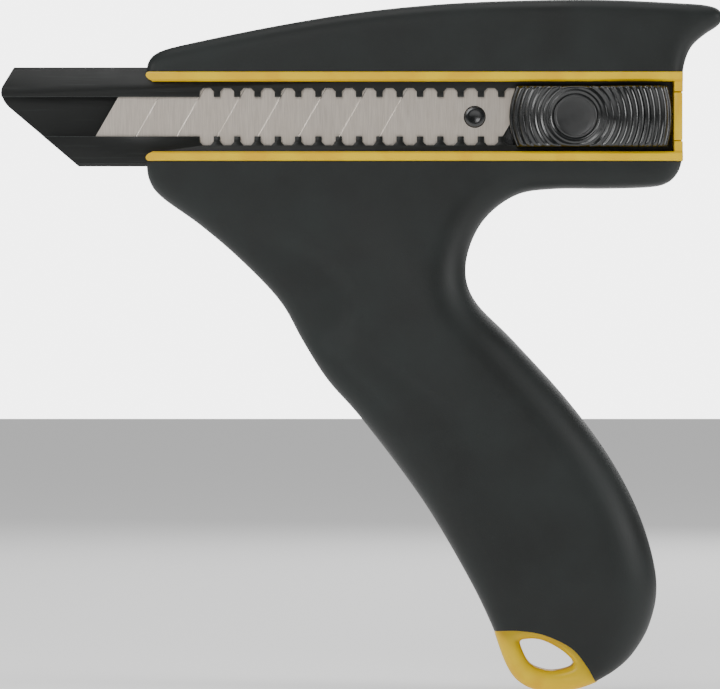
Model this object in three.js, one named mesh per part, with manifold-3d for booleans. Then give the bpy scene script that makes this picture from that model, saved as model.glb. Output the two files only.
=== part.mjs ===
// A pistol-grip cutter for snap-off blades: a black steel channel with two notched lips, held in the two
// halves of a yellow core under black elastomer covers, and a thumb slide that carries the blade.
//
// Millimetres. X runs from the muzzle (low X) to the back, Y from the side that the slide is worked from
// (low Y) to the closed side, and +Z is up. While it is being laid out, X = 0 is the tip of the channel and
// Z = 0 is the middle of the blade. The last lines set the finished tool on its lowest point.
import * as THREE from "three";
import { mergeVertices } from "three/addons/utils/BufferGeometryUtils.js";
import Module from "manifold-3d";

const wasm = await Module();
wasm.setup();

// ---------------------------------------------------------------- driving dimensions
const SEGMENT = 11; // length of one snap-off segment
const NOTCH_PITCH = SEGMENT / 2; // two stops for each segment
const BLADE_WIDTH = 22;
const BLADE_THICK = 0.65;
const BLADE_RAKE = THREE.MathUtils.degToRad(60); // of the tip and of every score line
const PLAY = 0.15; // between pieces that run or sit on each other
const SEAT = 0.3; // between a piece and the hole that is cut to take it
const GLUE = 0.25; // between the core and the inside of the covers

// depths, from the worked side (negative) to the closed side (positive)
const RIM_FACE = -9.8;
const SKIN_FACE = -9.5;
const CORE_FACE = -7.3;
const LIP_FACE = -5.9;
const STEEL = 1.0;
const CHANNEL_DEPTH = 4.9;
const FLOOR_FACE = LIP_FACE + CHANNEL_DEPTH - STEEL; // the channel's floor, as the slide sees it
const PARTING = 0.15; // each half stops this far short of the middle
const FLATNESS = 0.2; // how closely straight pieces follow a curved outline
const BEYOND = 5; // how far a cutter reaches past what it cuts

// the channel
const CHANNEL_WIDTH = 26.8;
const CHANNEL_END = 182;
const LIP_GAP = 10.7;
const NOTCH_WIDTH = 3.75;
const NOTCH_DEPTH = 2.4;
const NOTCH_CORNER = 0.9;
const FIRST_NOTCH = 56;
const NOTCHES = 21;
const BEND = 0.7; // outside radius of the folds
const CHANNEL_SCREWS = [46, 100, 148];

// the barrel
const BARREL_FRONT = 39.6;
const BARREL_BACK = 184.8;
const SLOT_HALF = 9.5; // half the width of the slot that the slide runs in
const LAND_HALF = 11.6; // half the width of the land that the channel is screwed to
const RIM_HALF = 12.05; // outside of the two rims, from the middle
const END_WALL = 2.3;
const STOP_BACK = -2.8; // a bridge behind the rear stop ties the core's two rims together

// the slide, at its rearmost stop
const PAD_X = 155.7; // middle of the round button
const PAD_FRONT = 17.8;
const PAD_REAR = 26.2;
const PAD_HALF = 8.2;
const BUTTON_R = 5.9;
const BUTTON_TRAVEL = 1.2;
const STEM_R = 1.9;
const TIP_X = 28.8; // where the tip edge crosses the middle of the blade
const TAIL_X = 141.4;
const HOLE_X = 128.6; // hole in the tail of the blade
const HOLE_R = 3.0;
const TOOTH_X = FIRST_NOTCH + 16 * NOTCH_PITCH; // the notch that the lock sits in at rest
const TOOTH_HALF = 1.4;
const SLIDE_SCREWS = [167, 174];
const SCREW_HOLE = 1.35; // radius of the slide screws' clearance holes
const NECK = { x: [143, 177.4], half: 4.9 };
const TONGUE = { x: [123.5, 178], half: 10.6 };
const RAILS = { x: [147, 178], half: 12.1 };
const LEAF_PLAN = { x: [144, 177], half: 4 };

// the grip
const GRIP_HALF = 14.5;
const SKIN = 3.0; // elastomer over the palm
const CORE_WALL = 2.4;
const LOOP_HALF = 4.8;

// Upright outline of the tool from the front lower corner of the spine cover, over the top, to the rear wall.
const SPINE = [
  [39.6, 12.1], [40.7, 15.6], [44.6, 18.1], [64.9, 22.9], [97.5, 28.3], [130.1, 31.1], [162.7, 31.9],
  [189.2, 30.6], [193.8, 29.3], [195.8, 26.6], [194.2, 24.0], [190.2, 21.7], [187.0, 18.0], [184.8, 12.1],
];
// The barrel's underside, the web behind the grip, and the back of the grip down to the loop.
const BACK = [
  [184.8, -12.1], [182.4, -16.4], [176.5, -19.1], [165, -19.3], [150, -19.3], [139.6, -21.2], [130.4, -28.8],
  [126.2, -38.8], [127.6, -48.3], [138.9, -60.3], [153.8, -76.8], [165.8, -93.2], [173.9, -109.4],
  [177.9, -125.7], [177.0, -134.4], [172.4, -144.4], [161.3, -153.1],
];
// The edge that the grip covers share with the loop.
const BUTT = [[161.3, -153.1], [154.9, -143.8], [147.0, -140.0], [140.4, -139.1], [133.9, -139.4]];
// The front of the grip, up to the nose under the channel.
const FRONT = [
  [133.9, -139.4], [127.4, -125.7], [114.6, -104.0], [98.3, -82.2], [86.2, -68.4], [80.6, -57.6],
  [72.8, -46.4], [59.5, -33.7], [43.6, -21.7], [40.3, -17.6], [39.6, -12.1],
];
// The core follows the same outline, one skin thickness further in, and stays out of the horn.
const CORE_SPINE = [
  [42.0, 10.2], [42.7, 14.4], [45.8, 16.1], [65.8, 20.6], [98.0, 25.9], [130.3, 28.7], [162.5, 29.3],
  [177.5, 28.7], [181.0, 25.4], [181.4, 10.2],
];
const CORE_BACK = [
  [181.4, -10.2], [179.8, -15.2], [175.6, -16.8], [165, -16.9], [150, -16.9], [138.0, -19.2],
  [128.1, -27.6], [123.7, -38.6], [125.4, -49.5], [137.1, -61.9], [151.9, -78.2], [163.7, -94.4],
  [171.6, -110.2], [175.4, -125.9], [174.6, -133.8], [170.6, -142.7], [163.2, -148.8],
];
const CORE_BUTT = [[163.2, -148.8], [156.6, -142.0], [147.9, -137.6], [140.6, -136.8], [135.4, -137.1]];
const CORE_FRONT = [
  [135.4, -137.1], [129.5, -124.7], [116.6, -102.8], [100.6, -80.4], [91.2, -66.6], [85.6, -54.6],
  [77.2, -42.4], [63.2, -28.8], [47.4, -18.6], [43.4, -16.0], [42.0, -10.2],
];
// The palm swell, where the grip is thicker than the barrel.
const SWELL = [
  [84.0, -33.0], [103.0, -25.8], [118.0, -29.5], [124.0, -46.0], [136.0, -61.8], [150.8, -78.0],
  [162.6, -94.5], [170.6, -111.0], [174.4, -127.0], [170.4, -139.4], [163.0, -143.4], [154.0, -140.6],
  [139.6, -133.6], [130.4, -121.6], [117.4, -102.0], [101.4, -80.6], [89.4, -66.6], [82.8, -54.8],
  [79.0, -43.0],
];
// The core swells only where the hand closes round it. Above that the cover is thicker.
const CORE_SWELL = [
  [109.0, -86.0], [121.0, -79.0], [136.0, -80.0], [148.0, -90.0], [158.5, -103.5], [165.0, -116.0],
  [168.0, -127.0], [164.5, -135.6], [154.0, -135.0], [142.0, -128.5], [134.0, -116.8], [121.5, -99.0],
];
// Hollows inside the core: along the spine, from the nose down into the grip, and deeper in the palm.
const SPINE_HOLLOW = [[60, 16.6], [98, 23.4], [130, 26.2], [160, 26.8], [177, 26.2], [178, 16.6]];
const GRIP_HOLLOW = [
  [58, -16.6], [58, -20.5], [77, -36.5], [91, -58], [117.5, -99], [132, -123.5], [170.5, -123.5], [167, -108],
  [160, -94], [146, -75], [133, -61], [121, -50], [119, -38], [123, -26], [133, -18.5], [133, -16.6],
];
const PALM_HOLLOW = [
  [119, -88], [134, -86], [144, -94], [154, -107], [159.5, -118], [141.5, -118], [130, -101],
];
// The loop's outline beyond the butt, its edge against the covers, and its eye.
const LOOP_HEEL = [161.3, -153.5];
const LOOP_TOE = [133.9, -139.8];
const LOOP_AROUND = [[156.5, -155.1], [150.0, -155.9], [144.2, -155.1], [139.6, -152.2], [136.6, -147.2]];
const LOOP_ACROSS = [[140.4, -139.5], [146.8, -140.4], [154.6, -144.2]];
const EYE = [
  [140.9, -142.2], [143.2, -147.6], [147.0, -149.8], [152.4, -149.8], [155.3, -147.9], [151.4, -144.0],
  [144.8, -141.5], [140.9, -142.2],
];
// The loop's tang passes through the covers and lies between the halves of the core.
const TANG = { x: [143, 158], half: 2.4, z: [-145, -125.8] };

// The screws that hold the halves together: X and Z of each.
const CASE_SCREWS = {
  spine_front: [88, 19.2], spine_rear: [166, 21.4], nose: [70, -25.5],
  web: [113, -40], grip: [144, -94], butt: [151, -131.5],
};
const SCREW_R = 1.4;
const SCREW_TIP = -5.2;
const HEAD_R = 2.9;
const HEAD_TALL = 1.9;
const HEAD_SINK = 0.2; // how far a head lies below the core around it
const CROSS = { half: 0.42, reach: 2.0, deep: 1.1 }; // the driver's socket
const BOSS_R = 3.4;

// ---------------------------------------------------------------- materials
const plastic = (color, roughness) => new THREE.MeshStandardMaterial({ color, roughness, metalness: 0 });
const metal = (color, roughness) => new THREE.MeshStandardMaterial({ color, roughness, metalness: 1 });
const ELASTOMER = plastic(0x2f3534, 0.72);
const YELLOW_ABS = plastic(0xf5cf1c, 0.38);
const BLACK_NYLON = plastic(0x23282a, 0.42);
const BLACKED_STEEL = metal(0x3a3f3f, 0.5);
const BLADE_STEEL = metal(0xb1aba4, 0.34);
const SPRING_STEEL = metal(0x8d9091, 0.3);
const ZINC_STEEL = metal(0xa8aaab, 0.35);

// ---------------------------------------------------------------- helpers
// A closed three.js geometry as a manifold solid.
function solid(geometry) {
  const g = geometry.index ? geometry.toNonIndexed() : geometry.clone();
  g.deleteAttribute("normal");
  g.deleteAttribute("uv");
  const merged = mergeVertices(g, 1e-4);
  const mesh = new wasm.Mesh({
    numProp: 3,
    vertProperties: merged.attributes.position.array,
    triVerts: new Uint32Array(merged.index.array),
  });
  return new wasm.Manifold(mesh);
}

// A manifold solid as a three.js geometry.
function geometryOf(shape) {
  const mesh = shape.getMesh();
  const g = new THREE.BufferGeometry();
  g.setAttribute("position", new THREE.BufferAttribute(new Float32Array(mesh.vertProperties), 3));
  g.setIndex(new THREE.BufferAttribute(new Uint32Array(mesh.triVerts), 1));
  g.computeVertexNormals();
  return g;
}

const join = (first, ...rest) => rest.reduce((whole, next) => whole.add(next), first);
const cut = (first, ...rest) => rest.reduce((whole, next) => whole.subtract(next), first);

// A block between two X, two Y and two Z limits.
function block([x0, x1], [y0, y1], [z0, z1]) {
  const g = new THREE.BoxGeometry(x1 - x0, y1 - y0, z1 - z0);
  return solid(g.translate((x0 + x1) / 2, (y0 + y1) / 2, (z0 + z1) / 2));
}

// A round bar along Y, which may taper from r0 at y0 to r1 at y1.
function bar(x, z, r0, [y0, y1], sides = 24, r1 = r0) {
  const g = new THREE.CylinderGeometry(r1, r0, y1 - y0, sides);
  return solid(g.translate(x, (y0 + y1) / 2, z));
}

// A profile of [radius, y] points, from axis to axis, spun round a line along Y.
function turned(x, z, profile, sides = 24) {
  const rising = profile[0][1] < profile.at(-1)[1] ? profile : profile.toReversed();
  const points = rising.map(([r, y]) => new THREE.Vector2(r, y));
  return solid(new THREE.LatheGeometry(points, sides).translate(x, 0, z));
}

// A flat outline in X and Z, as thick as from y0 to y1.
function plate(shape, [y0, y1]) {
  const g = new THREE.ExtrudeGeometry(shape, { depth: y1 - y0, bevelEnabled: false, curveSegments: 6 });
  return solid(g.rotateX(Math.PI / 2).translate(0, y1, 0));
}

// A flat outline with both edges rounded: half as thick as half on each side of the middle.
function pillow(points, half, roundWide, roundDeep, segments, inset = 0) {
  const g = new THREE.ExtrudeGeometry(new THREE.Shape(points), {
    depth: 2 * (half - roundDeep),
    bevelThickness: roundDeep,
    bevelSize: roundWide,
    bevelOffset: -roundWide - inset,
    bevelSegments: segments,
  });
  return solid(g.rotateX(Math.PI / 2).translate(0, half - roundDeep, 0));
}

// Both limits of a range, in rising order.
const between = (a, b) => [Math.min(a, b), Math.max(a, b)];

const vectors = (points) => points.map(([x, z]) => new THREE.Vector2(x, z));

// Leaves out the samples that lie closer than FLATNESS to the line between the ones that stay.
function thinned(points) {
  const first = points[0];
  const along = points.at(-1).clone().sub(first);
  const off = points.map((p) => Math.abs(along.cross(p.clone().sub(first))) / along.length());
  const worst = off.indexOf(Math.max(...off));
  if (off[worst] < FLATNESS) return [first, points.at(-1)];
  return [...thinned(points.slice(0, worst + 1)), ...thinned(points.slice(worst)).slice(1)];
}

// One smooth run through the given points, thinned in two halves so that a closed one keeps its far side.
function run(points) {
  const samples = new THREE.SplineCurve(vectors(points)).getPoints(8 * (points.length - 1));
  const middle = samples.length >> 1;
  return [...thinned(samples.slice(0, middle + 1)), ...thinned(samples.slice(middle)).slice(1)];
}

// Several runs, end to end, as one closed outline without doubled corners.
function outline(runs) {
  const points = runs.flatMap(run);
  return points.filter((p, i) => p.distanceTo(points[(i + points.length - 1) % points.length]) > 0.05);
}

const polygon = (points) => new THREE.Shape(vectors(points));

// Regions of space that are larger than the tool: each side of the parting, and above and below the rims.
const LONG = [-50, 250];
const NEAR = block(LONG, [-60, -PARTING], [-250, 100]);
const FAR = block(LONG, [PARTING, 60], [-250, 100]);
const ABOVE = block(LONG, [-60, 60], [RIM_HALF + PLAY, 100]);
const BELOW = block(LONG, [-60, 60], [-250, -RIM_HALF - PLAY]);
const group = new THREE.Group();

function add(name, shape, material) {
  const mesh = new THREE.Mesh(geometryOf(shape), material);
  mesh.name = name;
  group.add(mesh);
}

// ---------------------------------------------------------------- channel
// The flat side of the channel: a pointed muzzle with a rounded tip, raked back below.
function channelSide() {
  const half = CHANNEL_WIDTH / 2;
  const side = new THREE.Shape();
  side.moveTo(3.8, half);
  side.lineTo(0.6, 8.2);
  side.quadraticCurveTo(-0.6, 5.4, 2.2, 2.7);
  side.lineTo(21.2, -half);
  side.lineTo(CHANNEL_END, -half);
  side.lineTo(CHANNEL_END, half);
  side.closePath();
  return side;
}

// Folded from flat steel: a floor, two sides and two lips with a row of notches.
function bladeChannel() {
  const half = CHANNEL_WIDTH / 2;
  const back = FLOOR_FACE + STEEL;
  const section = polygon([
    [LIP_FACE, half - BEND], [LIP_FACE + BEND, half], [back - BEND, half], [back, half - BEND],
    [back, BEND - half], [back - BEND, -half], [LIP_FACE + BEND, -half], [LIP_FACE, BEND - half],
  ]);
  const length = [-BEYOND, CHANNEL_END + BEYOND];
  const strip = new THREE.ExtrudeGeometry(section, { depth: length[1] - length[0], bevelEnabled: false });
  // the section's own X and Y are the tool's Y and Z, and it is drawn out along X
  strip.applyMatrix4(new THREE.Matrix4().set(0, 0, 1, length[0], 1, 0, 0, 0, 0, 1, 0, 0, 0, 0, 0, 1));
  const inside = half - STEEL;
  const floorHoles = CHANNEL_SCREWS.map((x) => bar(x, 0, 2.75, [FLOOR_FACE - 0.1, back + 0.1], 14, 1.6));
  const folded = cut(
    solid(strip).intersect(plate(channelSide(), [-20, 20])),
    block(length, [LIP_FACE + STEEL, FLOOR_FACE], [-inside, inside]),
    block(length, [LIP_FACE - 1, LIP_FACE + STEEL + 0.5], [-LIP_GAP / 2, LIP_GAP / 2]),
    ...floorHoles,
  );
  const notch = plate(notchPair(), [LIP_FACE - 1, LIP_FACE + STEEL + 0.3]);
  const places = Array.from({ length: NOTCHES }, (_, i) => FIRST_NOTCH + i * NOTCH_PITCH);
  return cut(folded, ...places.map((x) => notch.translate([x, 0, 0])));
}

// One notch in each lip, facing each other, with the corners of the punch taken off.
function notchPair() {
  const reach = LIP_GAP / 2 + NOTCH_DEPTH;
  const side = NOTCH_WIDTH / 2;
  const corner = [[-side, NOTCH_CORNER - reach], [NOTCH_CORNER - side, -reach]];
  const lower = [...corner, ...corner.map(([x, z]) => [-x, z]).reverse()];
  return polygon([...lower, ...lower.map(([x, z]) => [-x, -z])]);
}

// Countersunk screws that hold the channel's floor down on the core.
function channelScrew(x) {
  const top = FLOOR_FACE + 0.05;
  return turned(x, 0, [[0, 4.6], [1.3, 4.6], [1.3, FLOOR_FACE + STEEL], [2.5, top], [0, top]], 14);
}

// ---------------------------------------------------------------- blade
const BLADE_FACE = LIP_FACE + STEEL + PLAY;
const BLADE_BACK = BLADE_FACE + BLADE_THICK;

function blade() {
  const half = BLADE_WIDTH / 2;
  const slope = Math.tan(BLADE_RAKE);
  const nick = 3.6; // the tail is square above this height and raked below it
  const side = polygon([
    [TIP_X - half / slope, -half], [TIP_X + half / slope, half], [TAIL_X, half], [TAIL_X, nick],
    [TAIL_X - (half + nick) / slope, -half],
  ]);
  return cut(plate(side, [BLADE_FACE, BLADE_BACK]), bar(HOLE_X, 0, HOLE_R, [-10, 0], 24));
}

// ---------------------------------------------------------------- slide
const CARRIAGE_FLOOR = FLOOR_FACE - 0.2;
const TONGUE_FACE = BLADE_BACK + PLAY;
const LEAF = [-4.6, -4.2];
const NECK_FOOT = LEAF[0] - PLAY;
const PAD_BASE = LIP_FACE - PLAY;

const slideHoles = (radius, depth) => SLIDE_SCREWS.map((x) => bar(x, 0, radius, depth, 12));

// The plate that runs inside the channel, under the lips, with a tongue that reaches under the blade.
function carriage() {
  const tongue = block(TONGUE.x, [TONGUE_FACE, CARRIAGE_FLOOR], [-TONGUE.half, TONGUE.half]);
  const rails = block(RAILS.x, [NECK_FOOT + 0.05, CARRIAGE_FLOOR], [-RAILS.half, RAILS.half]);
  const headRoom = block([142, 163], [-BEYOND, -2.9], [-7.8, 7.8]); // where the teeth go when pressed
  const leafBed = block([140, 179], [-BEYOND, LEAF[1] + PLAY], [-5.2, 5.2]);
  return cut(
    join(tongue, rails),
    headRoom,
    leafBed,
    bar(HOLE_X, 0, 1.75, [-BEYOND, 0], 12),
    ...slideHoles(SCREW_HOLE, [-BEYOND, 0]),
    ...slideHoles(2.35, [-3.25, 0]),
  );
}

// The round peg that the hole in the blade drops over.
function bladePeg() {
  const foot = TONGUE_FACE - 0.05;
  return turned(HOLE_X, 0, [
    [0, CARRIAGE_FLOOR], [1.6, CARRIAGE_FLOOR], [1.6, foot], [2.75, foot],
    [2.75, LIP_FACE + 0.5], [2.45, LIP_FACE + 0.15], [0, LIP_FACE + 0.15],
  ], 20);
}

// A flat steel leaf with a T-shaped head, whose two turned-up teeth stand in a pair of notches.
function lockSpring() {
  const toothX = [TOOTH_X - TOOTH_HALF, TOOTH_X + TOOTH_HALF];
  const leaf = block(LEAF_PLAN.x, LEAF, [-LEAF_PLAN.half, LEAF_PLAN.half]);
  const head = block(toothX, LEAF, [-7, 7]);
  const toothY = [LIP_FACE + 0.15, LEAF[1]];
  const teeth = [-1, 1].map((side) => block(toothX, toothY, between(5.75 * side, 7 * side)));
  return cut(join(leaf, head, ...teeth), ...slideHoles(SCREW_HOLE, [-6, 0]));
}

// The pad seen from the side: it dips under the thumb at the button and rises to a crest behind it.
function padSide() {
  const side = new THREE.Shape();
  side.moveTo(PAD_X - PAD_FRONT - 1, PAD_BASE);
  side.lineTo(PAD_X - PAD_FRONT, -8.3);
  side.quadraticCurveTo(PAD_X - PAD_FRONT + 3, -11.2, PAD_X - 10.5, -11.2);
  side.quadraticCurveTo(PAD_X - 7.5, -11.2, PAD_X - 6, -10.4);
  side.lineTo(PAD_X + 6, -10.4);
  side.quadraticCurveTo(PAD_X + 11, -12.9, PAD_X + 16, -12.6);
  side.quadraticCurveTo(PAD_X + 23, -12.2, PAD_X + PAD_REAR, -8.3);
  side.lineTo(PAD_X + PAD_REAR + 1, PAD_BASE);
  side.closePath();
  return side;
}

// The pad outside the lips, with a neck that passes between them.
function thumbPad() {
  const angleFront = Math.asin(PAD_HALF / PAD_FRONT);
  const angleRear = Math.asin(PAD_HALF / PAD_REAR);
  const plan = new THREE.Shape();
  plan.absarc(PAD_X, 0, PAD_FRONT, Math.PI - angleFront, Math.PI + angleFront, false);
  plan.absarc(PAD_X, 0, PAD_REAR, -angleRear, angleRear, false);
  plan.closePath();
  const wide = PAD_HALF + BEYOND;
  const drawn = { depth: 2 * wide, bevelEnabled: false, curveSegments: 6 };
  const prism = new THREE.ExtrudeGeometry(padSide(), drawn);
  const pad = solid(prism.translate(0, 0, -wide)).intersect(plate(plan, [-20, 0]));
  return cut(
    join(pad, block(NECK.x, [PAD_BASE - 0.2, NECK_FOOT], [-NECK.half, NECK.half])),
    bar(PAD_X, 0, BUTTON_R + PLAY, [-20, -6.9], 24),
    bar(PAD_X, 0, STEM_R + PLAY, [-20, 0], 12),
    ...slideHoles(1.3, [-9.8, 0]),
  );
}

// The button in the middle of the pad. Pressing it bends the leaf and takes the teeth out of the notches.
function lockButton() {
  const rim = -10.6;
  const dish = -10.2;
  const shoulder = -6.9 - BUTTON_TRAVEL - 0.1; // leaves the button's travel above the floor of its well
  return turned(PAD_X, 0, [
    [0, NECK_FOOT + 0.05], [STEM_R, NECK_FOOT + 0.05], [STEM_R, shoulder], [BUTTON_R, shoulder],
    [BUTTON_R, dish], [BUTTON_R - 0.5, rim], [0, dish],
  ], 24);
}

function slideScrew(x) {
  const head = CARRIAGE_FLOOR - 0.1;
  return turned(x, 0, [[0, -9.5], [1.15, -9.5], [1.15, -3.2], [2.2, -3.2], [2.2, head], [0, head]], 12);
}

// ---------------------------------------------------------------- core and covers
const bodyLine = outline([SPINE, BACK, BUTT, FRONT]);
const coreLine = outline([CORE_SPINE, CORE_BACK, CORE_BUTT, CORE_FRONT]);
const swellLine = outline([[...SWELL, SWELL[0]]]);
const coreSwellLine = outline([[...CORE_SWELL, CORE_SWELL[0]]]);
const caseScrews = Object.entries(CASE_SCREWS);
const caseBars = (radius, [y0, y1]) => caseScrews.map(([, [x, z]]) => bar(x, z, radius, [y0, y1], 12));

// The core's own shape, and with some growth the space that the covers leave for it.
const coreShape = (growth) => join(
  pillow(coreLine, -CORE_FACE + growth, 1.6, 1.6, 1, -growth),
  pillow(coreSwellLine, GRIP_HALF - SKIN + growth, 3.0, 4.4, 2, -growth),
);
const coreBody = coreShape(0);
const coverHollow = coreShape(GLUE);
const coverBody = join(
  pillow(bodyLine, -SKIN_FACE, 1.9, 2.6, 2),
  pillow(swellLine, GRIP_HALF, 4.8, 4.9, 3),
);
const tangHalf = TANG.half + 0.1 + SEAT;
const tangWay = block([TANG.x[0] - 0.8, TANG.x[1] + 0.8], [-tangHalf, tangHalf], [-147, TANG.z[1] + 0.6]);

// The hollows inside one half of the core, with posts left standing round each screw.
function pockets(side) {
  const shallow = between(0, side * (-CORE_FACE - CORE_WALL));
  const deep = between(side * 2, side * (GRIP_HALF - SKIN - CORE_WALL));
  const hollows = join(
    plate(polygon(SPINE_HOLLOW), shallow),
    plate(polygon(GRIP_HOLLOW), shallow),
    plate(polygon(PALM_HOLLOW), deep),
  );
  return cut(hollows, ...caseBars(BOSS_R, [-20, 20]));
}

// One rim of the slot, with its front end drawn to a rounded point.
function slotRim() {
  const side = new THREE.Shape();
  side.moveTo(BARREL_FRONT + 2, SLOT_HALF);
  side.quadraticCurveTo(BARREL_FRONT, SLOT_HALF + 0.8, BARREL_FRONT, RIM_HALF - 0.9);
  side.quadraticCurveTo(BARREL_FRONT + 0.1, RIM_HALF, BARREL_FRONT + 1, RIM_HALF);
  side.lineTo(BARREL_BACK, RIM_HALF);
  side.lineTo(BARREL_BACK, SLOT_HALF);
  side.closePath();
  return plate(side, [RIM_FACE, CORE_FACE + 0.5]);
}

// Half of the core on the worked side: the channel's seat, the rims of the slot and the end wall.
function nearCore() {
  const wallFace = RIM_FACE + 0.9;
  const wallHalf = SLOT_HALF + 0.5;
  const cavityHalf = CHANNEL_WIDTH / 2 + PLAY;
  const stopWide = { half: 11.7, y: [LIP_FACE - SEAT, STOP_BACK + SEAT] };
  const behind = [CHANNEL_END, BARREL_BACK + 1];
  const whole = join(
    coreBody.intersect(NEAR),
    block([BARREL_FRONT + 1.6, BARREL_BACK], [CORE_FACE, -PARTING], [-RIM_HALF, RIM_HALF]),
    slotRim(),
    slotRim().mirror([0, 0, 1]),
    block([BARREL_BACK - END_WALL, BARREL_BACK], [wallFace, CORE_FACE + 0.5], [-wallHalf, wallHalf]),
  );
  return cut(
    whole,
    block([BARREL_FRONT - 2, CHANNEL_END + 0.2], [LIP_FACE - PLAY, 1], [-cavityHalf, cavityHalf]),
    block([BARREL_FRONT - 2, BARREL_BACK - END_WALL], [-20, LIP_FACE], [-SLOT_HALF, SLOT_HALF]),
    block(behind, stopWide.y, [-stopWide.half, stopWide.half]),
    block(behind, [-20, LIP_FACE], [-6.75, 6.75]),
    pockets(-1),
    tangWay,
    ...caseBars(SCREW_R + 0.1, [SCREW_TIP - 0.4, 1]),
  );
}

// How far from the parting the top of a case screw's head may lie: one screw comes through the palm.
const headroom = (name) => (name === "grip" ? GRIP_HALF - SKIN - 0.5 : -CORE_FACE);
const screwSeat = (name) => headroom(name) - HEAD_SINK - HEAD_TALL;

// The closed half, with the land that the channel is screwed to.
function farCore() {
  const landFace = FLOOR_FACE + STEEL + PLAY;
  const seats = caseScrews.map(([name, [x, z]]) => bar(x, z, HEAD_R + 0.2, [screwSeat(name) - 0.1, 20], 12));
  return cut(
    join(
      coreBody.intersect(FAR),
      block([BARREL_FRONT + 2.4, BARREL_BACK - END_WALL], [PARTING, 5], [-RIM_HALF, RIM_HALF]),
      block([BARREL_FRONT + 3, CHANNEL_END], [landFace, PARTING + 0.5], [-LAND_HALF, LAND_HALF]),
    ),
    pockets(1),
    tangWay,
    ...CHANNEL_SCREWS.map((x) => bar(x, 0, 1.45, [-1, 5.2], 14)),
    ...caseBars(SCREW_R + 0.2, [-BEYOND, 20]),
    ...seats,
  );
}

// Self-tapping screws, driven from the closed side through wells in its cover.
function caseScrew(name) {
  const [x, z] = CASE_SCREWS[name];
  const seat = screwSeat(name);
  const top = seat + HEAD_TALL;
  const arm = [top - CROSS.deep, top + 1];
  const shank = [[0, SCREW_TIP], [SCREW_R, SCREW_TIP], [SCREW_R, seat]];
  return cut(
    turned(x, z, [...shank, [HEAD_R, seat], [HEAD_R, top], [0, top]], 12),
    block([x - CROSS.half, x + CROSS.half], arm, [z - CROSS.reach, z + CROSS.reach]),
    block([x - CROSS.reach, x + CROSS.reach], arm, [z - CROSS.half, z + CROSS.half]),
  );
}

// One of the two covers on the worked side, above or below the slot.
function nearCover(zone) {
  const mouthHalf = CHANNEL_WIDTH / 2 + PLAY;
  const mouth = block([BARREL_FRONT - 5, BARREL_BACK - 1], [LIP_FACE - PLAY, 1], [-mouthHalf, mouthHalf]);
  return cut(coverBody.intersect(NEAR).intersect(zone), coverHollow, mouth, tangWay);
}

// The cover on the closed side, in one piece, with a well over each case screw.
function farCover() {
  const roomHalf = RIM_HALF + PLAY;
  const barrelRoom = block([BARREL_FRONT + 2.2, BARREL_BACK - 2.1], [-1, 5.2], [-roomHalf, roomHalf]);
  return cut(coverBody.intersect(FAR), coverHollow, barrelRoom, tangWay, ...caseBars(HEAD_R + 0.6, [2, 30]));
}

// The lanyard loop, with a tang that the halves of the core close on.
function lanyardLoop() {
  const round = { wide: 0.66, deep: 1.1 };
  const flat = LOOP_HALF - round.deep;
  const outer = run([LOOP_HEEL, ...LOOP_AROUND, LOOP_TOE]);
  const inner = run([LOOP_TOE, ...LOOP_ACROSS, LOOP_HEEL]).slice(1, -1);
  const eye = run(EYE).slice(0, -1);
  const shape = new THREE.Shape([...outer, ...inner]);
  shape.holes.push(new THREE.Path(eye));
  const g = new THREE.ExtrudeGeometry(shape, {
    depth: 2 * flat,
    bevelThickness: round.deep,
    bevelSize: round.wide,
    bevelOffset: -round.wide,
    bevelSegments: 2,
  });
  const ring = solid(g.rotateX(Math.PI / 2).translate(0, flat, 0));
  const tang = cut(
    block(TANG.x, [-TANG.half, TANG.half], TANG.z),
    bar(150, -145.5, 4.4, [-BEYOND, BEYOND], 8),
    plate(new THREE.Shape(eye), [-BEYOND, BEYOND]),
  );
  const [x, z] = CASE_SCREWS.butt;
  return cut(join(ring, tang), bar(x, z, BOSS_R + SEAT, [-BEYOND, BEYOND], 12));
}

// The stop at the back of the channel. Its narrow part shows in the end wall.
function rearStop() {
  const x = [CHANNEL_END + 0.35, BARREL_BACK - 0.1];
  const wide = block(x, [LIP_FACE, STOP_BACK], [-11.4, 11.4]);
  const tab = block(x, [RIM_FACE + 0.7, LIP_FACE + 0.2], [-6.5, 6.5]);
  return join(wide, tab);
}

// ---------------------------------------------------------------- assembly
add("blade_channel", bladeChannel(), BLACKED_STEEL);
CHANNEL_SCREWS.forEach((x, i) => add(`channel_screw_${i + 1}`, channelScrew(x), ZINC_STEEL));
add("blade", blade(), BLADE_STEEL);
add("slide_carriage", carriage(), BLACK_NYLON);
add("blade_peg", bladePeg(), BLACK_NYLON);
add("lock_spring", lockSpring(), SPRING_STEEL);
add("thumb_pad", thumbPad(), BLACK_NYLON);
add("lock_button", lockButton(), BLACK_NYLON);
SLIDE_SCREWS.forEach((x, i) => add(`slide_screw_${i + 1}`, slideScrew(x), ZINC_STEEL));
add("near_core", nearCore(), YELLOW_ABS);
add("far_core", farCore(), YELLOW_ABS);
add("spine_cover", nearCover(ABOVE), ELASTOMER);
add("grip_cover", nearCover(BELOW), ELASTOMER);
add("back_cover", farCover(), ELASTOMER);
add("lanyard_loop", lanyardLoop(), YELLOW_ABS);
add("rear_stop", rearStop(), YELLOW_ABS);
caseScrews.forEach(([name]) => add(`case_screw_${name}`, caseScrew(name), ZINC_STEEL));

// The finished tool's origin: under the middle of its length, at its lowest point, on the parting plane.
const box = new THREE.Box3().setFromObject(group);
group.position.set(-(box.min.x + box.max.x) / 2, -(box.min.y + box.max.y) / 2, -box.min.z);

export default group;
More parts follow.
